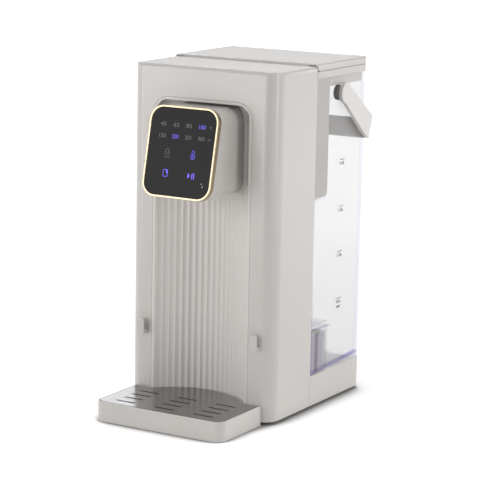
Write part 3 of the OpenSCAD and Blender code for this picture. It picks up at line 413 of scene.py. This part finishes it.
# The painted shade of the head: above the head's foot and behind the bare rim, darkest at the rim and paler towards
# the back.
head_shade = node(tree, "ShaderNodeMapRange", {"Value": place_of.outputs[2], "From Min": (HEAD_SHADE_FOOT - 0.7) * MM,
                                            "From Max": (HEAD_SHADE_FOOT + 0.7) * MM})
behind_rim = node(tree, "ShaderNodeMapRange", {"Value": place_of.outputs[1], "From Min": (RIM_BACK - 0.4) * MM,
                                               "From Max": (RIM_BACK + 0.4) * MM})
head_shade = node(tree, "ShaderNodeMath", {0: head_shade, 1: behind_rim}, operation="MULTIPLY")
thin = node(tree, "ShaderNodeMapRange", {"Value": place_of.outputs[1], "From Min": RIM_BACK * MM,
                                         "From Max": HEAD_SHADE_BACK * MM})
head_shade_tone = node(tree, "ShaderNodeMix", {"Factor": thin, 6: linear("#8d8e8a"), 7: linear("#d8d9d4")}, data_type="RGBA")
tone = node(tree, "ShaderNodeMix", {"Factor": head_shade, 6: tone, 7: head_shade_tone}, data_type="RGBA")
grit = node(tree, "ShaderNodeTexNoise", {"Vector": where, "Scale": 1 / (0.5 * MM), "Detail": 1.5})
pits = node(tree, "ShaderNodeBump", {"Height": grit, "Strength": 0.15, "Distance": 0.04 * MM})
gloss = node(tree, "ShaderNodeMapRange", {"Value": grit, "To Min": 0.36, "To Max": 0.46})
panel = node(tree, "ShaderNodeBsdfPrincipled", {"Base Color": tone, "Roughness": gloss, "Normal": pits, "IOR": 1.5})
node(tree, "ShaderNodeOutputMaterial", {"Surface": panel})
softened("fluted_panel", 0.2, blasted_abs)

# Front housing: the tall shell with the niche opening, moulded in one piece of ABS about 2.5 mm thick. Its corners
# and its top edge are well rounded, and four screws from below hold it down on the base pan.
softened("front_housing", 0.2, satin_abs)

# Tray hooks: two small hooks moulded in the shell's ABS and welded to its front beside the niche. The drip tray
# hangs on them when it is wanted higher up, nearer to the spout.
softened("tray_hooks", 0.4, satin_abs)

# Outlet head: a rounded box of moulded ABS that stands out of the niche and carries the panel on its sloping front.
# It is screwed to the shell from inside, and the acetal spout sits in its underside.
softened("head_shell", 0.4, satin_abs)
softened("spout_nozzle", 0.3, acetal)

# Bezel: a slim plated ring round the touch glass. Champagne gold over polished ABS, with a soft satin haze of
# about 0.4 mm, so that the flat front ring shines and the deep side stays darker.
champagne, tree, where = blank_material("champagne plated ABS")
haze = node(tree, "ShaderNodeTexNoise", {"Vector": where, "Scale": 1 / (0.4 * MM), "Detail": 2.0})
tone = node(tree, "ShaderNodeMix", {"Factor": haze, 6: linear("#b3a286"), 7: linear("#beaf96")}, data_type="RGBA")
gloss = node(tree, "ShaderNodeMapRange", {"Value": haze, "To Min": 0.2, "To Max": 0.3})
gilt = node(tree, "ShaderNodeBsdfPrincipled", {"Base Color": tone, "Metallic": 1.0, "Roughness": gloss})
node(tree, "ShaderNodeOutputMaterial", {"Surface": gilt})
softened("bezel", 0.35, champagne, steps=3)

# Touch glass: a smoked acrylic window bonded into the bezel over the control board.
# It is deep charcoal, smooth, with a hard-coat that dulls its reflections and faint cloudy smears of about 14 mm.
smoked_acrylic, tree, where = blank_material("hard-coated smoked acrylic")
smear = node(tree, "ShaderNodeTexNoise", {"Vector": where, "Scale": 1 / (14 * MM), "Detail": 3.0})
tone = node(tree, "ShaderNodeMix", {"Factor": smear, 6: linear("#0a0a0b"), 7: linear("#0f0f10")}, data_type="RGBA")
gloss = node(tree, "ShaderNodeMapRange", {"Value": smear, "To Min": 0.16, "To Max": 0.26})
pane = node(tree, "ShaderNodeBsdfPrincipled", {"Base Color": tone, "Roughness": gloss, "IOR": 1.23})
node(tree, "ShaderNodeOutputMaterial", {"Surface": pane})
softened("touch_glass", 0.2, smoked_acrylic)

# Panel marks: the numbers and signs of the touch panel, screen printed on the pane in a film of ink. Those lit from
# behind glow violet blue; the rest stay a faint grey. Places are millimetres across and up the slope of the pane.
PANEL_TILT, PANEL_FOOT, PANEL_FACE, INK = math.radians(12.2), (0, -96.4, 193.33), -0.2, 0.05
lean_up = Vector((0, math.sin(PANEL_TILT), math.cos(PANEL_TILT)))
lean_out = Vector((0, -math.cos(PANEL_TILT), math.sin(PANEL_TILT)))
panel_turn = Matrix(((1, 0, 0), lean_up, lean_out)).transposed().to_4x4()


def screen_ink(name, thin, thick):
    """Ink pressed through a mesh: a matt film with a faint speckle of about 0.3 mm."""
    ink, tree, where = blank_material(name)
    mesh_dots = node(tree, "ShaderNodeTexNoise", {"Vector": where, "Scale": 1 / (0.3 * MM), "Detail": 1.0})
    tone = node(tree, "ShaderNodeMix", {"Factor": mesh_dots, 6: linear(thin), 7: linear(thick)}, data_type="RGBA")
    film = node(tree, "ShaderNodeBsdfPrincipled", {"Base Color": tone, "Roughness": 0.5, "IOR": 1.5})
    node(tree, "ShaderNodeOutputMaterial", {"Surface": film})
    return ink


grey_ink = screen_ink("grey screen-printed ink", "#5f5e5c", "#787674")
white_ink = screen_ink("white screen-printed ink", "#b9b8b6", "#dcdbd9")
lit_ink, tree, where = blank_material("translucent ink lit from behind")
diodes = node(tree, "ShaderNodeTexNoise", {"Vector": where, "Scale": 1 / (2.4 * MM), "Detail": 1.0})
tone = node(tree, "ShaderNodeMix", {"Factor": diodes, 6: linear("#5546d8"), 7: linear("#8577ff")}, data_type="RGBA")
film = node(tree, "ShaderNodeBsdfPrincipled", {"Base Color": linear("#3a3190"), "Roughness": 0.5,
                                               "Emission Color": tone, "Emission Strength": 0.9})
node(tree, "ShaderNodeOutputMaterial", {"Surface": film})


def printed(piece, ink, spot, turn, body):
    """Lays a mark that was drawn flat on a face of the machine, and fixes it there."""
    piece.data.materials.clear()
    piece.data.materials.append(ink)
    piece.matrix_world = Matrix.Translation(spot * MM) @ turn
    pick(piece)
    bpy.ops.object.transform_apply(location=True, rotation=True, scale=True)
    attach(piece, body)


def on_panel(piece, place, ink):
    """Prints a mark on the sloping pane, at a place across it and up its slope."""
    across, up_slope = place
    spot = Vector(PANEL_FOOT) + Vector((across, 0, 0)) + lean_up * up_slope + lean_out * (PANEL_FACE + INK / 2)
    printed(piece, ink, spot, panel_turn, "housing")


def lettered(name, words, wide, high, bold=0.0):
    """A word or number as a film of ink, fitted to its printed width and height."""
    bpy.ops.object.select_all(action="DESELECT")
    bpy.ops.object.text_add()
    piece = bpy.context.object
    piece.name = name
    piece.data.body = words
    piece.data.align_x, piece.data.align_y = "CENTER", "CENTER"
    piece.data.resolution_u = 3
    piece.data.extrude = 0.02
    piece.data.offset = bold
    bpy.ops.object.convert(target="MESH")
    piece = bpy.context.object
    low = [min(v.co[i] for v in piece.data.vertices) for i in range(3)]
    top = [max(v.co[i] for v in piece.data.vertices) for i in range(3)]
    fit = [size * MM / (t - l) for size, l, t in zip((wide, high, INK), low, top)]
    middle = [(l + t) / 2 for l, t in zip(low, top)]
    piece.data.transform(Matrix.Diagonal((*fit, 1)) @ Matrix.Translation([-m for m in middle]))
    return piece


def drawn(name, strokes=(), fills=(), line=0.55, size=1.0):
    """A sign of ink strokes and filled outlines, given as lists of points; a closed stroke repeats its first."""
    parts = []
    for shapes, filled in ((strokes, False), (fills, True)):
        if not shapes:
            continue
        curve = bpy.data.curves.new(name, "CURVE")
        curve.dimensions = "2D" if filled else "3D"
        curve.fill_mode = "BOTH" if filled else "FULL"
        if filled:
            curve.extrude = INK / 2 * MM
        else:
            curve.bevel_depth = line / 2 * MM
            curve.bevel_resolution = 1
            curve.use_fill_caps = True
        for shape in shapes:
            closed = filled or shape[0] == shape[-1]
            points = shape[:-1] if shape[0] == shape[-1] else shape
            spline = curve.splines.new("POLY")
            spline.points.add(len(points) - 1)
            for point, (x, y) in zip(spline.points, points):
                point.co = (x * size * MM, y * size * MM, 0, 1)
            spline.use_cyclic_u = closed
        part = bpy.data.objects.new(name, curve)
        scene.collection.objects.link(part)
        pick(part)
        bpy.ops.object.convert(target="MESH")
        part = bpy.context.object
        if not filled:
            part.data.transform(Matrix.Diagonal((1, 1, INK / line, 1)))
        parts.append(part)
    pick(*parts)
    if len(parts) > 1:
        bpy.ops.object.join()
    parts[0].name = name
    return parts[0]


def arc(centre, radius, start, stop, count=14):
    """Points along a circle, angles in degrees."""
    turns = [math.radians(start + (stop - start) * i / count) for i in range(count + 1)]
    return [(centre[0] + radius * math.cos(a), centre[1] + radius * math.sin(a)) for a in turns]


DIGIT_HIGH, TWO_WIDE, THREE_WIDE, TEMPERATURE_ROW, VOLUME_ROW = 3.4, 5.3, 6.2, 60.8, 51.1
TEMPERATURES = [("45", -19.4, False), ("65", -6.7, False), ("85", 5.6, False), ("100", 18.4, True)]
VOLUMES = [("150", -19.0, False), ("200", -6.5, True), ("250", 5.9, False), ("300", 18.6, False)]
for row, up_slope, marks in (("temperature", TEMPERATURE_ROW, TEMPERATURES), ("volume", VOLUME_ROW, VOLUMES)):
    for words, across, lit in marks:
        mark = lettered(f"{row}_{words}", words, TWO_WIDE if len(words) == 2 else THREE_WIDE, DIGIT_HIGH)
        on_panel(mark, (across, up_slope), lit_ink if lit else grey_ink)
UNITS = [
    ("unit_degrees", "°C", 3.0, 2.4, (26.4, TEMPERATURE_ROW)),
    ("unit_millilitres", "mL", 3.2, 2.2, (26.6, VOLUME_ROW)),
]
for name, words, wide, high, place in UNITS:
    on_panel(lettered(name, words, wide, high), place, grey_ink)

# The signs are drawn a little larger than they are printed, round their own middle.
SIGN, FINE_LINE, FRAME_LINE = 0.83, 0.5, 0.6
LOCK_AT, WARM_AT, FILL_AT, START_AT, STEAM_AT = (-12.4, 37.0), (12.6, 37.3), (-11.8, 20.3), (13.2, 19.9), (24.7, 13.0)
LOCK_HALF, LOCK_LOW, LOCK_TOP, SHACKLE_R, SHACKLE_HIGH = 2.7, -4.1, 0.6, 1.9, 2.2
lock_body = [(-LOCK_HALF, LOCK_LOW), (LOCK_HALF, LOCK_LOW), (LOCK_HALF, LOCK_TOP), (-LOCK_HALF, LOCK_TOP)]
lock_body.append(lock_body[0])
shackle = [(SHACKLE_R, LOCK_TOP)] + arc((0, SHACKLE_HIGH), SHACKLE_R, 0, 180) + [(-SHACKLE_R, LOCK_TOP)]
keyhole = arc((0, -1.6), 0.55, 0, 360)
on_panel(drawn("lock_sign", [lock_body, shackle], [keyhole], FINE_LINE, SIGN), LOCK_AT, grey_ink)

BULB_AT, BULB_R, DROP_R = (0, -2.0), 2.3, 0.75
bulb = arc(BULB_AT, BULB_R, 0, 360, 24)
stem = [(1.0, 0.2)] + arc((0, 2.8), 1.35, -20, 200) + [(-1.0, 0.2)]
drop = arc(BULB_AT, DROP_R, 0, 360)
on_panel(drawn("warm_sign", [bulb, stem], [drop], FINE_LINE, SIGN), WARM_AT, lit_ink)

FILL_HALF, FILL_HIGH, FILL_ROUND = 2.6, 3.4, 1.0
outline = []
for quarter, (x, y) in enumerate(((1, 1), (-1, 1), (-1, -1), (1, -1))):
    centre = (x * (FILL_HALF - FILL_ROUND), y * (FILL_HIGH - FILL_ROUND))
    outline += arc(centre, FILL_ROUND, 90 * quarter, 90 * quarter + 90, 4)
patch_side, patch_top = FILL_HALF - 0.4, FILL_HIGH - 0.3
patch = [(0.7, patch_top), (patch_side, patch_top), (patch_side, -0.2), (1.5, -0.2), (0.7, 0.6)]
on_panel(drawn("fill_sign", [outline + outline[:1]], [patch], FRAME_LINE, SIGN), FILL_AT, lit_ink)

play = [(-4.1, -2.9), (-0.9, 0), (-4.1, 2.9)]
bars = [[(x, -3.1), (x + 1.1, -3.1), (x + 1.1, 3.1), (x, 3.1)] for x in (0.6, 2.8)]
on_panel(drawn("start_sign", (), [play] + bars, size=SIGN), START_AT, lit_ink)

steam = [[(x + dx, y + dy) for dx, dy in arc((0, 0), 0.5, 0, 360, 10)] for x, y in ((-0.7, 1.3), (0.5, -1.2))]
steam += [[(-1.0, 1.4), (-0.4, 1.3), (-0.1, 0.4)], [(0.2, -1.1), (0.9, -1.0), (0.6, 0.2)]]
on_panel(drawn("steam_sign", (), steam), STEAM_AT, white_ink)

# Water tank: a clear copolyester jug that sits on the base behind the housing, with a notch for the spine and a
# pocket over the locating posts. It is injection moulded, with walls of 2.6 mm that dim what lies behind them a
# little and turn violet where the plastic is seen edge on: at the foot, the front edge, the pocket and the corners.
FOOT_LEAN, FOOT_MIDDLE, FOOT_HALF, TANK_FRONT, TANK_WALL = 0.04, 30.4, 2.0, 15.1, 2.6
POSTS_BACK, POCKET_BACK, POCKET_TOP, REAR_CORNER, WALL_INSIDE = 42.0, 50.1, 69.0, 175.3, 67.2
PALE_LOW, PALE_TOP, FADE_LOW, FADE_TOP, FADE_LEAST, LAMPLIGHT = 30, 200, 50, 120, 0.15, 0.985
clear_wall, tree, where = blank_material("clear moulded copolyester")
place_of = node(tree, "ShaderNodeSeparateXYZ", {0: where})
swirl = node(tree, "ShaderNodeTexNoise", {"Vector": where, "Scale": 1 / (35 * MM), "Detail": 1.0})
waves = node(tree, "ShaderNodeBump", {"Height": swirl, "Strength": 0.08, "Distance": 0.5 * MM})
gloss = node(tree, "ShaderNodeMapRange", {"Value": swirl, "To Min": 0.015, "To Max": 0.04})
depth = node(tree, "ShaderNodeMapRange", {"Value": place_of.outputs[2], "From Min": PALE_LOW * MM,
                                          "From Max": PALE_TOP * MM})
body = node(tree, "ShaderNodeMix", {"Factor": depth, 6: linear("#f0f0f0"), 7: linear("#f4f4f4")}, data_type="RGBA")

# Violet along the foot, in a line that rises a little towards the back.
height = node(tree, "ShaderNodeVectorMath", {0: where, 1: (0, -FOOT_LEAN, 1)}, operation="DOT_PRODUCT")
off_foot = node(tree, "ShaderNodeMath", {0: height, 1: FOOT_MIDDLE * MM}, operation="SUBTRACT")
off_foot = node(tree, "ShaderNodeMath", {0: off_foot}, operation="ABSOLUTE")
foot = node(tree, "ShaderNodeMapRange", {"Value": off_foot, "From Min": 0.6 * FOOT_HALF * MM,
                                         "From Max": FOOT_HALF * MM, "To Min": 1.0, "To Max": 0.0})

# Violet down the front edge, strongest low down.
front_edge = node(tree, "ShaderNodeMapRange", {"Value": place_of.outputs[1], "From Min": (TANK_FRONT + 1.5) * MM,
                                               "From Max": (TANK_FRONT + TANK_WALL) * MM, "To Min": 1.0,
                                               "To Max": 0.0})
low_down = node(tree, "ShaderNodeMapRange", {"Value": place_of.outputs[2], "From Min": FADE_LOW * MM,
                                             "From Max": FADE_TOP * MM, "To Min": 1.0, "To Max": FADE_LEAST})
front_edge = node(tree, "ShaderNodeMath", {0: front_edge, 1: low_down}, operation="MULTIPLY")
edge_on = node(tree, "ShaderNodeMath", {0: foot, 1: front_edge}, operation="MAXIMUM")

# Violet over the locating posts, and a line along the roof of their pocket.
by_posts = node(tree, "ShaderNodeMapRange", {"Value": place_of.outputs[1], "From Min": (POSTS_BACK - 1) * MM,
                                             "From Max": (POSTS_BACK + 1) * MM, "To Min": 0.5, "To Max": 0.0})
under_top = node(tree, "ShaderNodeMapRange", {"Value": place_of.outputs[2], "From Min": (POCKET_TOP - 4) * MM,
                                              "From Max": (POCKET_TOP - 3) * MM, "To Min": 1.0, "To Max": 0.0})
posts = node(tree, "ShaderNodeMath", {0: by_posts, 1: under_top}, operation="MULTIPLY")
before_back = node(tree, "ShaderNodeMapRange", {"Value": place_of.outputs[1], "From Min": (POCKET_BACK - 0.5) * MM,
                                                "From Max": POCKET_BACK * MM, "To Min": 0.8, "To Max": 0.0})
off_top = node(tree, "ShaderNodeMath", {0: place_of.outputs[2], 1: POCKET_TOP * MM}, operation="SUBTRACT")
off_top = node(tree, "ShaderNodeMath", {0: off_top}, operation="ABSOLUTE")
roof = node(tree, "ShaderNodeMapRange", {"Value": off_top, "From Min": 0.5 * MM, "From Max": 1.0 * MM, "To Min": 1.0,
                                         "To Max": 0.0})
roof = node(tree, "ShaderNodeMath", {0: before_back, 1: roof}, operation="MULTIPLY")
for edge in (posts, roof):
    edge_on = node(tree, "ShaderNodeMath", {0: edge_on, 1: edge}, operation="MAXIMUM")

# All of these lie in the side walls. The rear corners and every wall seen at a skim take the tint as well.
across = node(tree, "ShaderNodeMath", {0: place_of.outputs[0]}, operation="ABSOLUTE")
aside = node(tree, "ShaderNodeMapRange", {"Value": across, "From Min": WALL_INSIDE * MM,
                                          "From Max": (WALL_INSIDE + 1) * MM})
edge_on = node(tree, "ShaderNodeMath", {0: edge_on, 1: aside}, operation="MULTIPLY")
corner = node(tree, "ShaderNodeMath", {0: across, 1: place_of.outputs[1]}, operation="ADD")
corner = node(tree, "ShaderNodeMapRange", {"Value": corner, "From Min": (REAR_CORNER - 2.2) * MM,
                                           "From Max": (REAR_CORNER - 0.8) * MM, "To Max": 0.38})
edge_on = node(tree, "ShaderNodeMath", {0: edge_on, 1: corner}, operation="MAXIMUM")
skim = node(tree, "ShaderNodeLayerWeight", {"Blend": 0.5})
skim = node(tree, "ShaderNodeMapRange", {"Value": skim.outputs["Facing"], "From Min": 0.65, "To Max": 0.6})
edge_on = node(tree, "ShaderNodeMath", {0: edge_on, 1: skim}, operation="MAXIMUM")
tint = node(tree, "ShaderNodeMix", {"Factor": edge_on, 6: body, 7: linear("#9d98c4")}, data_type="RGBA")

# The wall hardly bends the light, because rays that are caught inside the tank floor would leave a black patch. Its
# gloss comes from a coat, and the light of the lamps passes straight through.
jug = node(tree, "ShaderNodeBsdfPrincipled", {"Base Color": tint, "Roughness": gloss, "Normal": waves, "IOR": 1.01,
                                              "Transmission Weight": 0.965, "Coat Weight": 0.6,
                                              "Coat Roughness": 0.03, "Coat IOR": 1.5})
cast = node(tree, "ShaderNodeVolumeAbsorption", {"Color": linear("#8f88c8"), "Density": 3.0})
rays = node(tree, "ShaderNodeLightPath")
lamps = node(tree, "ShaderNodeMath", {0: rays.outputs["Is Shadow Ray"], 1: rays.outputs["Is Diffuse Ray"]},
             operation="MAXIMUM")
through = node(tree, "ShaderNodeBsdfTransparent", {"Color": (LAMPLIGHT, LAMPLIGHT, LAMPLIGHT, 1)})
both = node(tree, "ShaderNodeMixShader", {0: lamps, 1: jug, 2: through})
node(tree, "ShaderNodeOutputMaterial", {"Surface": both, "Volume": cast})
softened("water_tank", 0.4, clear_wall)

# Level marks: half-litre numbers pad printed on the right wall of the tank in dark grey ink, with a short line over
# each and a lower word for the least filling. Pad ink is thin and a little cloudy, at about 0.3 mm.
pad_ink = screen_ink("dark pad-printed ink", "#3a393b", "#555457")
MARK_Y, MARK_WIDE, MARK_HIGH, MARK_BOLD, TANK_SIDE = 64.0, 8.6, 3.0, 0.03, 71.0
LINE_HALF, LINE_THIN, LINE_OVER = 4.4, 0.3, 3.2
LEVELS = [("2.0L", 210.4), ("1.5L", 169.1), ("1.0L", 128.9), ("0.5L", 87.0)]
LEAST_WIDE, LEAST_HIGH, LEAST_LEVEL = 6.4, 2.2, 82.4
side_turn = Matrix(((0, 1, 0), (0, 0, 1), (1, 0, 0))).transposed().to_4x4()
bar = [(-LINE_HALF, -LINE_THIN), (LINE_HALF, -LINE_THIN), (LINE_HALF, LINE_THIN), (-LINE_HALF, LINE_THIN)]


def on_tank(piece, level):
    """Prints a mark on the right wall of the tank, upright."""
    printed(piece, pad_ink, Vector((TANK_SIDE + INK / 2, MARK_Y, level)), side_turn, "tank")


for words, level in LEVELS:
    end = words.replace(".", "_")
    on_tank(lettered("level_" + end, words, MARK_WIDE, MARK_HIGH, MARK_BOLD), level)
    on_tank(drawn("line_" + end, (), [bar]), level + LINE_OVER)
on_tank(lettered("level_least", "MIN", LEAST_WIDE, LEAST_HIGH, MARK_BOLD), LEAST_LEVEL)

# Tank valve: a valve body of moulded acetal that stands on the tank floor by its flange and reaches down through it.
# A sprung acetal plunger runs inside with its red seal, and the strainer is snapped over the top.
softened("valve_body", 0.3, acetal)
dress(acetal, "valve_plunger")

# Spring: five turns of round stainless wire that hold the plunger down. In the machine it shortens as the base pin
# lifts the plunger; here it is wound at one length. Drawn wire is bright, and the die leaves a faint mottle in its
# gloss, drawn coarse at 0.4 mm to show.
SPRING_AXIS_Y, SPRING_LOW, SPRING_TOP, SPRING_R, WIRE_R, TURNS = 74.5, 39.4, 50.4, 4.6, 0.55, 5
bpy.ops.object.select_all(action="DESELECT")
bpy.ops.mesh.primitive_circle_add(vertices=12, radius=WIRE_R * MM, rotation=(math.radians(90), 0, 0),
                                  location=(SPRING_R * MM, 0, 0))
spring = bpy.context.object
spring.name = "valve_spring_wound"
bpy.ops.object.transform_apply(location=True, rotation=True, scale=True)
winding = spring.modifiers.new("winding", "SCREW")
winding.axis = "Z"
winding.iterations = TURNS
winding.screw_offset = (SPRING_TOP - SPRING_LOW - 2 * WIRE_R) / TURNS * MM
winding.steps = winding.render_steps = 28
bpy.ops.object.modifier_apply(modifier=winding.name)
bpy.ops.object.mode_set(mode="EDIT")
bpy.ops.mesh.select_all(action="SELECT")
bpy.ops.mesh.remove_doubles(threshold=WELD)
bpy.ops.mesh.fill_holes(sides=0)
bpy.ops.mesh.select_all(action="SELECT")
bpy.ops.mesh.normals_make_consistent(inside=False)
bpy.ops.object.mode_set(mode="OBJECT")
spring.location = (0, SPRING_AXIS_Y * MM, (SPRING_LOW + WIRE_R) * MM)
bpy.ops.object.transform_apply(location=True, rotation=True, scale=True)
bpy.ops.object.shade_smooth_by_angle(angle=math.radians(50))
wire, tree, where = blank_material("drawn stainless wire")
die = node(tree, "ShaderNodeTexNoise", {"Vector": where, "Scale": 1 / (0.4 * MM), "Detail": 2.0})
gloss = node(tree, "ShaderNodeMapRange", {"Value": die, "To Min": 0.18, "To Max": 0.34})
tone = node(tree, "ShaderNodeMix", {"Factor": die, 6: linear("#b9bbbd"), 7: linear("#d2d4d6")}, data_type="RGBA")
coil = node(tree, "ShaderNodeBsdfPrincipled", {"Base Color": tone, "Metallic": 1.0, "Roughness": gloss})
node(tree, "ShaderNodeOutputMaterial", {"Surface": coil})
spring.data.materials.append(wire)
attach(spring, "tank")
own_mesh(spring)
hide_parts("valve_spring")

# Tank spine: the grey block that closes the tank's notch, moulded in ABS and bonded to the tank. Its grey is painted
# darker than the shell's, a painted shade for the notch it sits in. Its mould is etched, which leaves a dry, even
# grain, drawn coarse at 0.7 mm to show.
shaded_spine_abs, tree, where = blank_material("etched grey ABS with painted shade")
cloud = node(tree, "ShaderNodeTexNoise", {"Vector": where, "Scale": 1 / (30 * MM), "Detail": 2.0})
tone = node(tree, "ShaderNodeMix", {"Factor": cloud, 6: linear("#aeaaa7"), 7: linear("#b5b1ae")}, data_type="RGBA")
grain = node(tree, "ShaderNodeTexNoise", {"Vector": where, "Scale": 1 / (0.7 * MM), "Detail": 2.0})
pits = node(tree, "ShaderNodeBump", {"Height": grain, "Strength": 0.2, "Distance": 0.05 * MM})
gloss = node(tree, "ShaderNodeMapRange", {"Value": grain, "To Min": 0.4, "To Max": 0.52})
block = node(tree, "ShaderNodeBsdfPrincipled", {"Base Color": tone, "Roughness": gloss, "Normal": pits, "IOR": 1.5})
node(tree, "ShaderNodeOutputMaterial", {"Surface": block})
softened("tank_spine", 0.3, shaded_spine_abs)

# Tank collar: the grey rim of the tank with the skirt that reaches down inside it, moulded in the shell's satin ABS
# and bonded on. It holds the lid's hinge at the front.
softened("tank_collar", 0.2, satin_abs)

# Handle pins: two headed pins of moulded ABS, pushed outwards through the tank's walls so that the handle snaps over
# their ends. A black rubber cap inside the tank covers each head, a dark piece that stands in for the shade at the
# pivot.
softened("handle_pins", 0.3, satin_abs)
CAP_R, CAP_BORE, CAP_INNER, CAP_OUTER, CAP_SKIN, CAP_ROUND = 6.6, 6.1, 65.4, 68.3, 0.8, 0.2
PIVOT_Y, PIVOT_Z = 61.0, 272.0
cap_deep, cap_middle = CAP_OUTER - CAP_INNER, (CAP_INNER + CAP_OUTER) / 2
# The caps are dark pieces put where the pivot shows shade.
for side, reach in (("right", 1), ("left", -1)):
    bpy.ops.object.select_all(action="DESELECT")
    bpy.ops.mesh.primitive_cylinder_add(vertices=40, radius=CAP_R * MM, depth=cap_deep * MM,
                                        rotation=(0, math.radians(90), 0),
                                        location=(reach * cap_middle * MM, PIVOT_Y * MM, PIVOT_Z * MM))
    shade_cap = bpy.context.object
    shade_cap.name = f"pin_shade_cap_{side}"
    bpy.ops.object.transform_apply(location=True, rotation=True, scale=True)
    bpy.ops.object.mode_set(mode="EDIT")
    bpy.ops.mesh.select_mode(type="FACE")
    bpy.ops.mesh.select_all(action="DESELECT")
    bpy.ops.object.mode_set(mode="OBJECT")
    for face in shade_cap.data.polygons:
        face.select = face.normal.x * reach > 0.9
    bpy.ops.object.mode_set(mode="EDIT")
    bpy.ops.mesh.inset(thickness=(CAP_R - CAP_BORE) * MM)
    bpy.ops.mesh.extrude_region_move(
        TRANSFORM_OT_translate={"value": (-reach * (cap_deep - CAP_SKIN) * MM, 0, 0)})
    bpy.ops.object.mode_set(mode="OBJECT")
    rim = shade_cap.modifiers.new("rounded rim", "BEVEL")
    rim.width = CAP_ROUND * MM
    rim.segments = 2
    rim.limit_method = "ANGLE"
    bpy.ops.object.modifier_apply(modifier=rim.name)
    bpy.ops.object.shade_smooth_by_angle(angle=math.radians(40))
    shade_cap.data.materials.append(rubber)
    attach(shade_cap, "tank")

# Handle: a U-shaped band of moulded ABS, flat-sided and sprung over the two pins, so that its arms hide them. Its ABS
# is painted paler than the shell's, a painted light for the light that falls on it from behind on the right. Handling
# keeps it smoother than the shell, with the same faint clouds of tone.
lit_handle_abs, tree, where = blank_material("handle ABS with painted light")
cloud = node(tree, "ShaderNodeTexNoise", {"Vector": where, "Scale": 1 / (40 * MM), "Detail": 2.0})
tone = node(tree, "ShaderNodeMix", {"Factor": cloud, 6: linear("#d3d0cd"), 7: linear("#d8d5d2")}, data_type="RGBA")
peel = node(tree, "ShaderNodeTexNoise", {"Vector": where, "Scale": 1 / (2.0 * MM), "Detail": 1.5})
ripple = node(tree, "ShaderNodeBump", {"Height": peel, "Strength": 0.1, "Distance": 0.05 * MM})
gloss = node(tree, "ShaderNodeMapRange", {"Value": peel, "To Min": 0.26, "To Max": 0.34})
band = node(tree, "ShaderNodeBsdfPrincipled", {"Base Color": tone, "Roughness": gloss, "Normal": ripple, "IOR": 1.54})
node(tree, "ShaderNodeOutputMaterial", {"Surface": band})
softened("tank_handle", 0.6, lit_handle_abs, steps=3)

# Lid: a flat cover of the shell's satin ABS, moulded with a shallow rim below that carries the silicone gasket. It
# is hinged at the front of the collar and opens upwards.
softened("tank_lid", 0.3, satin_abs)

# Drip tray: a shallow tray moulded in the shell's satin ABS, with rounded corners and a ledge for the plate. It
# stands on the table and slides in under the niche.
softened("drip_tray", 0.4, satin_abs)

# Tray plate: a slotted plate of stainless sheet, brushed from side to side, that lifts out of the tray.
# The brushing draws fine lines along the plate that stretch the reflections, drawn coarse at 0.4 mm to show.
brushed_steel, tree, where = blank_material("brushed stainless sheet")
along = node(tree, "ShaderNodeMapping", {"Vector": where, "Scale": (0.02, 1.0, 1.0)})
lines = node(tree, "ShaderNodeTexNoise", {"Vector": along, "Scale": 1 / (0.4 * MM), "Detail": 3.0})
tone = node(tree, "ShaderNodeMix", {"Factor": lines, 6: linear("#8b8b8c"), 7: linear("#a1a1a2")}, data_type="RGBA")
gloss = node(tree, "ShaderNodeMapRange", {"Value": lines, "To Min": 0.18, "To Max": 0.3})
combed = node(tree, "ShaderNodeBump", {"Height": lines, "Strength": 0.1, "Distance": 0.03 * MM})
sheet = node(tree, "ShaderNodeBsdfPrincipled", {"Base Color": tone, "Metallic": 1.0, "Roughness": gloss,
                                                "Normal": combed})
node(tree, "ShaderNodeOutputMaterial", {"Surface": sheet})
plate = softened("tray_plate", 0.06, brushed_steel, steps=1)

# The walls of the punched slots carry a painted shade, so that the slots read dark: near-black dull steel with a
# coarse grain of about 0.3 mm.
slot_shade_steel, tree, where = blank_material("punched slot walls, painted shade")
tear = node(tree, "ShaderNodeTexNoise", {"Vector": where, "Scale": 1 / (0.3 * MM), "Detail": 2.0})
tone = node(tree, "ShaderNodeMix", {"Factor": tear, 6: linear("#121212"), 7: linear("#20201f")}, data_type="RGBA")
cut = node(tree, "ShaderNodeBsdfPrincipled", {"Base Color": tone, "Metallic": 0.4, "Roughness": 0.6})
node(tree, "ShaderNodeOutputMaterial", {"Surface": cut})
plate.data.materials.append(slot_shade_steel)
# The painted shade goes on the upright walls of the slots, away from the plate's outline.
SLOT_MARGIN = 5 * MM
low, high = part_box("tray_plate")
for face in plate.data.polygons:
    inside = all(low[i] + SLOT_MARGIN < face.center[i] < high[i] - SLOT_MARGIN for i in (0, 1))
    if inside and abs(face.normal.z) < 0.5:
        face.material_index = 1
